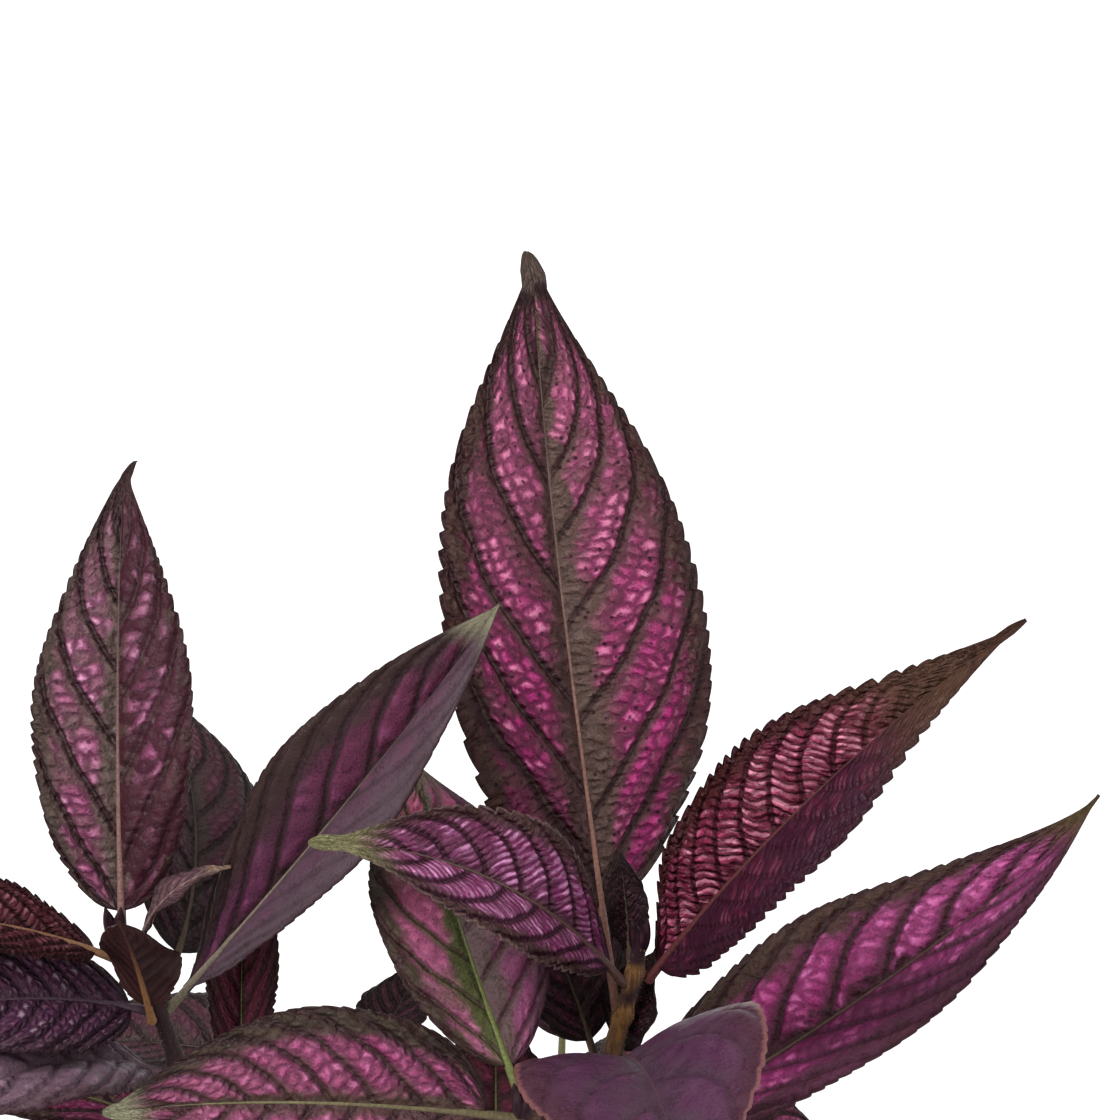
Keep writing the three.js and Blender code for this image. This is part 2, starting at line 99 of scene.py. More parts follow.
LEAVES = {
    "right_5a": dict(
        heading=-6, rise=59, arch=-18.5, sweep=8, long=137, wide=45, roll=32, twist=4, fold=23, petiole=3,
        belly=0.37, taper=0.55, point=0.76, look="young", pairs=13, cell=2.3, rows=1, relief=0.9,
        teeth=32, tooth=1.8, slant=40, mesh=0.5, lean=(0.12, 0.12), nib=1.3, relief_right=0.25),
    "right_5b": dict(
        heading=204, rise=57, arch=-43, sweep=-1, long=105, wide=37, roll=-42, fold=18, petiole=5,
        belly=0.42, taper=0.7, point=0.76, look="violet", pairs=9, cell=1.9, rows=1, relief=0.7, teeth=30,
        tooth=1.4, slant=45, mesh=0.45, lean=(0.16, 0.14), nib=2.0),
    "right_5c": dict(
        petiole=4, heading=105, rise=72, arch=-10, long=30, wide=12, look="dark", teeth=14, relief=0.4,
        cell=2.0, tooth=0.5),
    "right_4a": dict(
        heading=110.2, rise=65, arch=-26, sweep=-17.2, long=199, wide=78, roll=15, twist=6, fold=10,
        petiole=26, belly=0.42, taper=0.44, point=0.66, look="tall", pairs=7, cell=3.3, rows=3,
        relief=1.3, teeth=30, tooth=1.5, hook=(0.95, 1.6), nib=3.6, slant=12, mesh=0.62,
        lean=(0.25, 0.13), forks="tall"),
    "right_4b": dict(
        node=2, petiole=3, heading=40, rise=74, arch=-14, long=32, wide=20, look="dark", teeth=14,
        relief=0.4, cell=2.4, tooth=0.5),
    "right_3": dict(
        heading=-80, rise=53, arch=-76, sweep=-2, long=127, wide=62, roll=8, twist=7, fold=13, petiole=6,
        belly=0.47, taper=0.64, point=0.66, look="satin", pairs=6, cell=8, rows=1, relief=0.6, teeth=30,
        tooth=0.9, slant=30, mesh=0.75),
    "right_3b": dict(petiole=5, heading=128, rise=60, arch=-20, long=60, wide=36, look="dark", teeth=18),
    "right_2a": dict(
        heading=14, rise=24.3, arch=-3, sweep=25, long=176, wide=55, roll=9, twist=-2, fold=24,
        belly=0.37, taper=0.53, point=0.67, look="bright", pairs=8, cell=3.8, rows=2, relief=1.3,
        teeth=34, tooth=0.9, hook=(0.8, 2.4), slant=40, mesh=0.62, nib=0.9),
    "right_2b": dict(heading=-38, rise=22, arch=-55, long=105, wide=40),
    "right_1": dict(heading=-12, rise=20, arch=-55, long=120, wide=44),
    "left_5a": dict(
        heading=94, rise=58, arch=-25, sweep=-3, long=127, wide=44, roll=-9, fold=14, petiole=8,
        belly=0.39, taper=0.46, point=0.61, look="pale", pairs=6, cell=3.4, rows=2, relief=1.2, teeth=32,
        tooth=1.0, hook=(0.93, -3), nib=1.5, slant=12, mesh=0.6, lean=(0.26, 0.1)),
    "left_5b": dict(
        heading=202, rise=37.5, arch=-33, sweep=3, long=78, wide=26, roll=-15, twist=2, fold=14,
        belly=0.46, taper=0.46, look="red", pairs=10, cell=1.8, rows=1, relief=0.7, teeth=26, tooth=2.0,
        petiole=4, slant=40, mesh=0.55),
    "left_5c": dict(
        heading=11, rise=72, arch=-72, long=36, wide=9, roll=6, twist=2, fold=15, look="fresh", teeth=14,
        relief=0.4, cell=2.0, tooth=0.4, petiole=6, mesh=0.7),
    "left_4a": dict(
        heading=8, rise=50, arch=5, sweep=4, long=139, wide=42, roll=35, twist=5, fold=31, petiole=5,
        belly=0.52, taper=1.0, point=0.5, look="folded", pairs=7, cell=7, rows=1, relief=0.9, teeth=32,
        tooth=0.5, slant=30, mesh=0.7, lean=(0.3, 0.1), relief_right=0.3),
    "left_4b": dict(
        heading=78, rise=8, arch=7, sweep=42, long=127, wide=45, roll=24, twist=13, fold=13, belly=0.43,
        taper=0.56, point=0.84, look="dark", mesh=0.9),
    "left_4c": dict(
        heading=212, rise=33, arch=-33, sweep=-4, long=71, wide=34, roll=-27, fold=6, petiole=4,
        belly=0.44, taper=0.44, look="lilac", cell=3.0, teeth=22, mesh=0.6),
    "left_4d": dict(
        petiole=4, heading=256, rise=76, arch=-12, long=42, wide=22, look="maroon", teeth=14, relief=0.4,
        cell=2.0, tooth=0.6, mesh=0.7),
    "left_3a": dict(
        heading=224, rise=42.5, arch=-60, sweep=-1, long=83, wide=35, roll=-13, fold=13, belly=0.44,
        taper=0.54, look="silver_sheen", pairs=7, cell=5, rows=1, relief=0.9, petiole=6, mesh=0.7),
    "left_2c": dict(
        heading=97, rise=49, arch=-24, sweep=-10, long=82, wide=24, roll=3, twist=5, fold=33, petiole=14,
        belly=0.5, taper=0.62, look="wine", mesh=0.8),
    "left_2a": dict(heading=170, rise=26, arch=-55, long=118, wide=44),
    "left_2b": dict(heading=235, rise=20, arch=-52, long=112, wide=42),
    "left_1": dict(heading=200, rise=16, arch=-55, long=112, wide=42),
    "front_3a": dict(
        heading=116, rise=33, arch=-19, sweep=-15, long=100, wide=44.5, roll=3, fold=9, petiole=11,
        belly=0.48, taper=0.56, point=0.55, look="green_rib", pairs=6, cell=4.5, rows=2, relief=0.9,
        teeth=28, tooth=0.4, slant=30, mesh=0.6, lean=(0.22, 0.12)),
    "front_3b": dict(
        heading=193, rise=19, arch=-30, sweep=-14, long=100, wide=49.5, roll=-58, twist=-7, fold=13,
        petiole=8, belly=0.42, taper=0.48, point=0.59, look="olive", pairs=9, cell=3.2, rows=2,
        relief=1.0, teeth=28, tooth=0.6, slant=40, mesh=0.6, lean=(0.2, 0.14), nib=2.0),
    "front_2a": dict(heading=-108, rise=20, arch=-55, long=112, wide=44),
    "front_2b": dict(heading=-40, rise=15, arch=-55, long=104, wide=40),
    "front_2c": dict(petiole=8, heading=90, rise=70, arch=-12, long=54, wide=32, look="wine", teeth=16),
    "front_1a": dict(heading=-72, rise=14, arch=-52, long=105, wide=42),
    "front_1b": dict(heading=-140, rise=14, arch=-52, long=104, wide=40),
    "back_left_3a": dict(heading=104, rise=-40, arch=-12, long=66, wide=32, teeth=18),
    "back_left_3b": dict(heading=165, rise=12, arch=-40, long=95, wide=38, look="dark"),
    "back_left_3c": dict(petiole=6, heading=66, rise=24, arch=-8, long=42, wide=22, look="dark", teeth=14),
    "back_left_2a": dict(heading=154, rise=2, arch=-42, long=100, wide=38),
    "back_left_2b": dict(heading=58, rise=-12, arch=-34, long=56, wide=27, teeth=16),
    "back_left_1": dict(heading=172, rise=-8, arch=-40, long=100, wide=40),
    "back_right_3a": dict(heading=88, rise=22, arch=-55, long=105, wide=44),
    "back_right_3b": dict(heading=3, rise=-6, arch=-30, long=82, wide=34, teeth=22),
    "back_right_2a": dict(heading=54, rise=-10, arch=-40, long=100, wide=40),
    "back_right_2b": dict(heading=100, rise=-26, arch=-12, long=60, wide=28, teeth=16),
    "back_right_1": dict(heading=34, rise=-12, arch=-35, long=96, wide=38),
}

# The finish of a leaf, partly painted light. glow and deep are the bright skin between the veins, near
# the tip and near the foot; band runs along the midrib, edge outside the bright skin and rim on the very
# edge, core is the fine line in a vein, pale the painted highlights on the cells, right the colour that
# the half on the right turns to, partly its own darker colour and partly painted shade and sheen, under
# the underside, and rib the midrib at its foot and at its tip. inner and outer say where the bright skin
# starts and stops between the midrib, 0, and the edge, 1, tip_from and tip_to where the tip's colour
# comes in along the blade, and crease where a dark line of painted shadow crosses it. vein_wide is half
# the width of the dark stripe of a side vein in millimetres, the vein widened by the painted shade of
# its groove. The others are shares: speckle of dark dots, cells of the net of cross veins and of the
# painted shade in the hollows between cells, rungs of regular cross lines and of pale bars of painted
# highlight, crest of painted highlights on the cells, lines of dark side veins with their painted
# groove shade, turn of the colour on the right half, top of the bright skin that a panel keeps at its
# upper side, patches and mottle of the cells that stay dull.
LOOK = {
    "inner_from": 0.08, "inner_to": 0.28, "outer_from": 0.62, "outer_to": 0.86, "speckle": 0.1,
    "cells": 0.7, "rungs_and_rung_highlights": 0.0, "crest_highlight": 0.6, "vein_wide": 1.2, "lines": 0.8, "tip_from": 0.84,
    "tip_to": 0.96, "crease_shadow": 2.0, "turn": 0.0, "top": 0.05, "patches": 0.6, "mottle": 0.2,
    "right": (80, 30, 50), "rim": (44, 18, 22),
}
LOOKS = {
    # tall: near its tip a thin dark line of painted shadow crosses the blade.
    "tall": dict(
        glow=(188, 88, 134), deep=(190, 38, 128), band=(80, 52, 52), vein=(38, 12, 18),
        core=(102, 84, 74), edge=(60, 32, 30), pale=(226, 142, 174), tip=(86, 70, 64),
        rib=((156, 112, 98), (102, 86, 80)), under=(92, 44, 68), inner_from=0.14, inner_to=0.34,
        outer_from=0.66, outer_to=0.86, speckle=0.9, right=(70, 26, 38), turn=0.15, tip_from=0.915,
        tip_to=0.925, crease_shadow=0.92, crest_highlight=0.8, vein_wide=1.7, cells=0.8, lines=0.9),
    # young: its dark right half is partly its own colour and partly painted shade.
    "young": dict(
        glow=(178, 56, 98), deep=(166, 52, 92), band=(76, 26, 38), vein=(44, 8, 20),
        core=(84, 34, 38), edge=(66, 28, 26), pale=(234, 152, 176), tip=(78, 52, 40),
        rib=((92, 46, 46), (72, 40, 38)), under=(70, 28, 48), inner_from=0.01, inner_to=0.1,
        outer_from=0.6, outer_to=0.8, speckle=0, cells=1, rungs_and_rung_highlights=1, crest_highlight=0.2, tip_from=0.56,
        tip_to=0.8, right=(52, 20, 38), turn=0.97, mottle=0.12, top=0.3, vein_wide=1.2),
    "violet": dict(
        glow=(166, 72, 128), deep=(160, 58, 122), band=(96, 48, 70), vein=(48, 14, 30),
        core=(100, 66, 80), edge=(68, 46, 40), pale=(228, 162, 208), tip=(150, 146, 104),
        rib=((96, 70, 64), (104, 96, 72)), under=(84, 50, 72), inner_from=0.02, inner_to=0.16,
        outer_from=0.6, outer_to=0.8, speckle=0, cells=0.6, rungs_and_rung_highlights=0.7, crest_highlight=0.5, tip_from=0.74,
        tip_to=0.95, top=0.2, vein_wide=1.2, rim=(120, 96, 92)),
    "green_rib": dict(
        glow=(184, 84, 122), deep=(182, 92, 138), band=(82, 86, 50), vein=(56, 24, 36),
        core=(84, 84, 56), edge=(62, 44, 40), pale=(214, 146, 170), tip=(84, 72, 60),
        rib=((104, 114, 56), (60, 72, 42)), under=(92, 54, 74), inner_from=0.2, inner_to=0.42,
        cells=0.25, crest_highlight=0.6, right=(100, 44, 84), turn=0.5, patches=0.2, lines=0.6),
    # folded: its grey-lilac right half is a painted sheen over its own purple.
    "folded": dict(
        glow=(98, 40, 68), deep=(98, 44, 76), band=(54, 32, 38), vein=(38, 20, 26),
        core=(60, 42, 44), edge=(50, 32, 28), pale=(140, 76, 116), tip=(122, 116, 96),
        rib=((126, 116, 98), (80, 66, 60)), under=(88, 72, 82), inner_from=0.02, inner_to=0.16,
        outer_from=0.35, outer_to=0.62, speckle=0, cells=0.1, crest_highlight=0.3, right=(86, 68, 78),
        turn=0.75, tip_from=0.88, patches=0.3, vein_wide=1.6, lines=0.45),
    # pale: its dark maroon right half is partly its own colour and partly painted shade.
    "pale": dict(
        glow=(152, 88, 118), deep=(160, 74, 118), band=(100, 84, 78), vein=(40, 12, 22),
        core=(100, 84, 76), edge=(70, 56, 48), pale=(208, 146, 178), tip=(62, 42, 42),
        rib=((134, 100, 94), (74, 50, 54)), under=(80, 44, 62), inner_from=0.12, inner_to=0.36,
        speckle=0.7, right=(56, 14, 30), turn=0.92, mottle=0.5, crest_highlight=0.9, vein_wide=1.6, lines=0.95),
    "dark": dict(
        glow=(82, 40, 54), deep=(84, 36, 56), band=(58, 38, 42), vein=(34, 18, 22),
        core=(64, 50, 48), edge=(50, 34, 34), pale=(108, 72, 84), tip=(66, 52, 48),
        rib=((92, 74, 58), (66, 54, 48)), under=(62, 38, 48), crest_highlight=0.3, cells=0.4),
    "maroon": dict(
        glow=(64, 26, 36), deep=(60, 22, 32), band=(46, 20, 26), vein=(26, 8, 12),
        core=(64, 36, 34), edge=(44, 20, 22), pale=(90, 48, 54), tip=(66, 44, 38),
        rib=((158, 112, 72), (78, 44, 38)), under=(36, 14, 20), crest_highlight=0.3, cells=0.4),
    "wine": dict(
        glow=(110, 40, 62), deep=(104, 36, 58), band=(72, 34, 42), vein=(40, 14, 22),
        core=(74, 48, 48), edge=(60, 30, 34), pale=(130, 66, 84), tip=(70, 50, 46),
        rib=((120, 128, 72), (102, 108, 64)), under=(60, 30, 42), crest_highlight=0.2, cells=0.3, lines=0.5),
    "olive": dict(
        glow=(168, 82, 122), deep=(172, 74, 124), band=(86, 58, 60), vein=(44, 18, 28),
        core=(92, 74, 62), edge=(58, 48, 38), pale=(212, 138, 176), tip=(150, 148, 118),
        rib=((108, 98, 70), (120, 118, 82)), under=(84, 48, 66), rungs_and_rung_highlights=0.2, outer_from=0.58,
        outer_to=0.78, vein_wide=1.5, cells=0.6, patches=0.3, lines=0.7),
    "satin": dict(
        glow=(82, 46, 72), deep=(78, 40, 68), band=(72, 48, 64), vein=(52, 28, 44),
        core=(78, 56, 68), edge=(72, 38, 52), pale=(108, 78, 98), tip=(72, 44, 48),
        rib=((88, 64, 76), (74, 50, 60)), under=(74, 40, 58), speckle=0, cells=0.15, crest_highlight=0.2,
        patches=0.2, vein_wide=1.6, lines=0.2, rim=(140, 90, 86)),
    # The grey-lilac of this leaf is partly its own purple and partly a painted sheen.
    "silver_sheen": dict(
        glow=(124, 96, 112), deep=(112, 84, 102), band=(100, 78, 90), vein=(62, 38, 52),
        core=(106, 84, 94), edge=(78, 56, 62), pale=(160, 136, 146), tip=(78, 56, 60),
        rib=((108, 84, 94), (84, 62, 70)), under=(80, 56, 68), speckle=0, cells=0.3, crest_highlight=0.5,
        patches=0.3, vein_wide=1.4, lines=0.5),
    "bright": dict(
        glow=(176, 72, 134), deep=(182, 58, 130), band=(74, 40, 50), vein=(44, 16, 28),
        core=(84, 60, 56), edge=(66, 46, 36), pale=(230, 128, 190), tip=(84, 68, 44),
        rib=((104, 92, 66), (80, 64, 50)), under=(86, 40, 66), inner_from=0.05, inner_to=0.18,
        outer_from=0.52, outer_to=0.74, cells=0.4, rungs_and_rung_highlights=0.1, crest_highlight=0.9, tip_from=0.82,
        right=(108, 40, 84), turn=0.55, mottle=0.4, patches=0.35, vein_wide=1.8, lines=0.6),
    "red": dict(
        glow=(112, 42, 54), deep=(104, 36, 50), band=(68, 24, 32), vein=(36, 8, 16),
        core=(80, 40, 42), edge=(68, 24, 26), pale=(168, 110, 118), tip=(78, 44, 40),
        rib=((150, 110, 82), (96, 60, 52)), under=(64, 30, 40), speckle=0, rungs_and_rung_highlights=0.6),
    "lilac": dict(
        glow=(108, 60, 94), deep=(100, 52, 86), band=(80, 48, 68), vein=(34, 12, 28),
        core=(92, 64, 82), edge=(78, 52, 64), pale=(158, 136, 150), tip=(80, 58, 64),
        rib=((90, 70, 82), (76, 54, 64)), under=(64, 38, 54), speckle=0, crest_highlight=1),
    "fresh": dict(
        glow=(106, 70, 82), deep=(94, 58, 74), band=(92, 68, 70), vein=(62, 38, 48),
        core=(106, 84, 80), edge=(84, 62, 62), pale=(150, 118, 118), tip=(180, 150, 130),
        rib=((118, 92, 88), (146, 120, 106)), under=(92, 66, 74), speckle=0, cells=0.2,
        tip_from=0.7, vein_wide=0.6),
    "deep": dict(
        glow=(164, 70, 114), deep=(160, 50, 106), band=(78, 50, 54), vein=(42, 16, 24),
        core=(90, 70, 62), edge=(60, 38, 34), pale=(206, 126, 162), tip=(82, 64, 54),
        rib=((116, 112, 72), (88, 70, 56)), under=(80, 42, 62), speckle=0.2, cells=0.5, crest_highlight=0.4,
        patches=0.3, lines=0.9, vein_wide=1.3),
}
# Where the side veins leave the midrib, as shares of the blade, on the left and on the right, for a
# leaf whose veins aren't evenly spaced.
FORKS = {
    "tall": ((-0.3, 0.05, 0.166, 0.297, 0.472, 0.633, 0.78, 1.05),
             (-0.25, 0.0, 0.123, 0.27, 0.415, 0.544, 0.637, 0.76, 1.05)),
}
BLADE = {"thick": 0.5, "rib": (2.3, 1.0), "rib_above": 0.3, "stalk": 1.25, "tip": 0.5}
STEPS = 40  # along a midrib
# What sets the numbers of the veins on the right half apart from those on the left.
RIGHT_VEINS = 40.45
RIGHT_FORKS = 40
GOLDEN = 0.618  # spreads what repeats, so that no two neighbours are alike
# How many waves of a pattern there are in a metre.
WAVES = {"wander": 330, "jitter": 700, "grain": 1500, "blotch": 170, "cloud": 45, "freckle": 400}
BLACK, WHITE = (0, 0, 0, 1), (1, 1, 1, 1)


# Small helpers

def mix(a, b, share):
    return a + (b - a) * share


def ease(low, high, value):
    """0 below low, 1 above high and a smooth S between, for numbers and arrays; high may be the lower."""
    share = np.clip((value - low) / (high - low), 0.0, 1.0)
    return share * share * (3 - 2 * share)


def fraction(value):
    return value - np.floor(value)


def deselect():
    for chosen in list(bpy.context.selected_objects):
        chosen.select_set(False)


def only(piece):
    deselect()
    piece.select_set(True)
    bpy.context.view_layer.objects.active = piece
    return piece


def apply_modifier(piece, kind, **settings):
    only(piece)
    modifier = piece.modifiers.new(kind.lower(), kind)
    for key, value in settings.items():
        setattr(modifier, key, value)
    bpy.ops.object.modifier_apply(modifier=modifier.name)


def join(main, others):
    only(main)
    for other in others:
        other.select_set(True)
    bpy.ops.object.join()
    return main


def settle(piece, slot_name, *nodes):
    """The piece rides on the plant's one body and stands for the nodes; slot_name is not used."""
    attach(piece, "root")
    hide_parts(*nodes)


def vertices_of(piece):
    flat = np.zeros(len(piece.data.vertices) * 3)
    piece.data.vertices.foreach_get("co", flat)
    return flat.reshape(-1, 3)


def move_vertices(piece, points):
    piece.data.vertices.foreach_set("co", np.ascontiguousarray(points, np.float32).ravel())
    piece.data.update()


def give_attribute(piece, name, columns):
    """A vector for each vertex, under that name, for the materials to read."""
    values = np.stack(np.broadcast_arrays(*columns), axis=-1).astype(np.float32)
    attribute = piece.data.attributes.new(name, "FLOAT_VECTOR", "POINT")
    attribute.data.foreach_set("vector", values.ravel())


# Nodes

class Bench:
    """Adds nodes to one node tree and joins them; a value is a socket, a number, a colour or a vector."""

    def __init__(self, tree):
        self.tree = tree

    def node(self, kind, **settings):
        made = self.tree.nodes.new(kind)
        for key, value in settings.items():
            setattr(made, key, value)
        return made

    def put(self, socket, value):
        if isinstance(value, bpy.types.NodeSocket):
            self.tree.links.new(value, socket)
        else:
            socket.default_value = value

    def math(self, operation, *values):
        made = self.node("ShaderNodeMath", operation=operation)
        for socket, value in zip(made.inputs, values):
            self.put(socket, value)
        return made.outputs[0]

    def times(self, first, *others):
        for other in others:
            first = self.math("MULTIPLY", first, other)
        return first

    def scaled(self, value, by, plus):
        return self.math("MULTIPLY_ADD", value, by, plus)

    def from_side(self, share):
        """How far a share is from the nearer of 0 and 1."""
        return self.math("SUBTRACT", 0.5, self.math("ABSOLUTE", self.math("SUBTRACT", share, 0.5)))

    def ramp(self, value, low, high, start=0.0, end=1.0):
        made = self.node("ShaderNodeMapRange", interpolation_type="SMOOTHSTEP")
        for socket, given in zip(made.inputs, (value, low, high, start, end)):
            self.put(socket, given)
        return made.outputs[0]

    def blend(self, share, low, high, way="MIX"):
        made = self.node("ShaderNodeMix", data_type="RGBA", blend_type=way)
        self.put(made.inputs[0], share)
        self.put(made.inputs[6], low)
        self.put(made.inputs[7], high)
        return made.outputs[2]

    def shaded(self, shade, tone):
        """The colour times a shade of grey."""
        return self.blend(1.0, tone, self.blend(shade, BLACK, WHITE), "MULTIPLY")

    def split(self, vector):
        made = self.node("ShaderNodeSeparateXYZ")
        self.put(made.inputs[0], vector)
        return made.outputs

    def noise(self, vector, scale, detail=2.0, roughness=0.5):
        made = self.node("ShaderNodeTexNoise")
        self.put(made.inputs["Vector"], vector)
        self.put(made.inputs["Scale"], scale)
        self.put(made.inputs["Detail"], detail)
        self.put(made.inputs["Roughness"], roughness)
        return made.outputs["Fac"]

    def dots(self, vector, scale):
        made = self.node("ShaderNodeTexVoronoi")
        self.put(made.inputs["Vector"], vector)
        self.put(made.inputs["Scale"], scale)
        return made.outputs["Distance"]

    def cells(self, vector, feature, uneven):
        made = self.node("ShaderNodeTexVoronoi")
        made.voronoi_dimensions = "2D"
        made.feature = feature
        self.put(made.inputs["Vector"], vector)
        self.put(made.inputs["Scale"], 1.0)
        self.put(made.inputs["Randomness"], uneven)
        return made

    def stretch(self, vector, scale):
        made = self.node("ShaderNodeMapping")
        self.put(made.inputs["Vector"], vector)
        self.put(made.inputs["Scale"], scale)
        return made.outputs[0]


def colour(levels):
    """A colour given as it looks on a screen, 0 to 255, as the renderer's own linear colour."""
    def linear(level):
        share = level / 255
        return share / 12.92 if share <= 0.04045 else ((share + 0.055) / 1.055) ** 2.4
    return (*[linear(level) for level in levels], 1.0)


def new_group(name, inputs, outputs):
    """An empty node group; inputs are (name, kind) and its sockets are read from the first result."""
    tree = bpy.data.node_groups.new(name, "ShaderNodeTree")
    for label, kind in inputs:
        tree.interface.new_socket(label, in_out="INPUT", socket_type="NodeSocket" + kind)
    for label, kind in outputs:
        tree.interface.new_socket(label, in_out="OUTPUT", socket_type="NodeSocket" + kind)
    bench = Bench(tree)
    start = bench.node("NodeGroupInput")
    end = bench.node("NodeGroupOutput")
    return bench, start.outputs, end.inputs


def new_material(name):
    material = bpy.data.materials.new(name)
    material.use_nodes = True
    bench = Bench(material.node_tree)
    return material, bench, material.node_tree.nodes["Principled BSDF"]


def dress(bench, skin, values):
    """Gives the skin's sockets their values: what varies is joined to them, and what doesn't is set."""
    for label, value in values.items():
        bench.put(skin.inputs[label], value)


def use_group(bench, group, values):
    made = bench.node("ShaderNodeGroup", node_tree=group)
    for label, value in values.items():
        bench.put(made.inputs[label], value)
    return made.outputs


def bump(bench, skin, height, distance, strength=1.0):
    made = bench.node("ShaderNodeBump")
    dress(bench, made, {"Height": height, "Distance": distance, "Strength": strength})
    bench.put(skin.inputs["Normal"], made.outputs[0])


def attribute(bench, name):
    return bench.node("ShaderNodeAttribute", attribute_name=name).outputs["Vector"]


def object_spot(bench):
    return bench.node("ShaderNodeTexCoord").outputs["Object"]


def make_vein_group():
    """The net of veins, from the two vectors that a leaf carries: masks of 0 to 1."""
    bench, given, out = new_group(
        "leaf_veins",
        [("Veins", "Vector"), ("Place", "Vector"), ("Spot", "Vector"), ("Rows", "Float"),
         ("Wide", "Float")],
        [(label, "Float") for label in (
            "Side vein", "Core", "Cross vein", "Ladder", "Climb", "Pillow", "Rung highlight", "Patch", "Out",
            "Right", "Along", "Grain", "Blotch", "Cloud")])
    lateral, cross, away = bench.split(given["Veins"])[0:3]
    along, half, span = bench.split(given["Place"])[0:3]
    wander = bench.noise(given["Spot"], WAVES["wander"], 2)
    sway = bench.scaled(wander, 0.9, -0.45)
    climb = bench.math("FRACT", lateral)
    gap = bench.scaled(bench.from_side(climb), span, sway)
    clear = bench.ramp(away, 0.012, 0.03)
    rows = bench.times(lateral, given["Rows"])
    shift = bench.math("FRACT", bench.times(bench.math("FLOOR", rows), GOLDEN))
    cell = bench.math("FRACT", bench.math("ADD", sway, bench.math("ADD", cross, shift)))
    tile = bench.node("ShaderNodeCombineXYZ")
    jitter = bench.noise(given["Spot"], WAVES["jitter"], 2)
    bench.put(tile.inputs[0], bench.scaled(wander, 0.5, rows))
    bench.put(tile.inputs[1], bench.scaled(jitter, 0.5, cross))
    apart = bench.cells(tile.outputs[0], "DISTANCE_TO_EDGE", 0.6).outputs["Distance"]
    chance = bench.cells(tile.outputs[0], "F1", 0.6).outputs["Color"]
    inner_side = bench.times(given["Wide"], 0.3)
    results = {
        "Side vein": bench.times(bench.ramp(gap, inner_side, given["Wide"], 1, 0), clear),
        "Core": bench.times(bench.ramp(gap, 0.0, 0.36, 1, 0), clear),
        "Cross vein": bench.times(bench.ramp(apart, 0.0, 0.2, 0.7, 0), clear),
        "Ladder": bench.times(bench.ramp(bench.from_side(cell), 0.05, 0.22, 1, 0), clear),
        "Climb": climb,
        "Pillow": bench.ramp(apart, 0.02, 0.4),
        # A bar in each cell, where the upper skin paints a highlight.
        "Rung highlight": bench.times(bench.ramp(cell, 0.3, 0.55), bench.ramp(cell, 0.7, 0.95, 1, 0)),
        "Patch": bench.split(chance)[0],
        "Out": away,
        "Right": bench.ramp(half, -0.01, 0.01, 1, 0),
        "Along": along,
        "Grain": bench.noise(given["Spot"], WAVES["grain"], 3),
        "Blotch": bench.noise(given["Spot"], WAVES["blotch"], 3),
        "Cloud": bench.noise(given["Spot"], WAVES["cloud"], 2),
    }
    for label, value in results.items():
        bench.put(out[label], value)
    return bench.tree


SHADES = ("glow", "deep", "band", "vein", "core", "edge", "pale", "tip", "right", "rim")
AMOUNTS = ("inner_from", "inner_to", "outer_from", "outer_to", "speckle", "cells", "rungs_and_rung_highlights", "crest_highlight",
           "vein_wide", "lines", "tip_from", "tip_to", "crease_shadow", "turn", "top", "patches", "mottle")


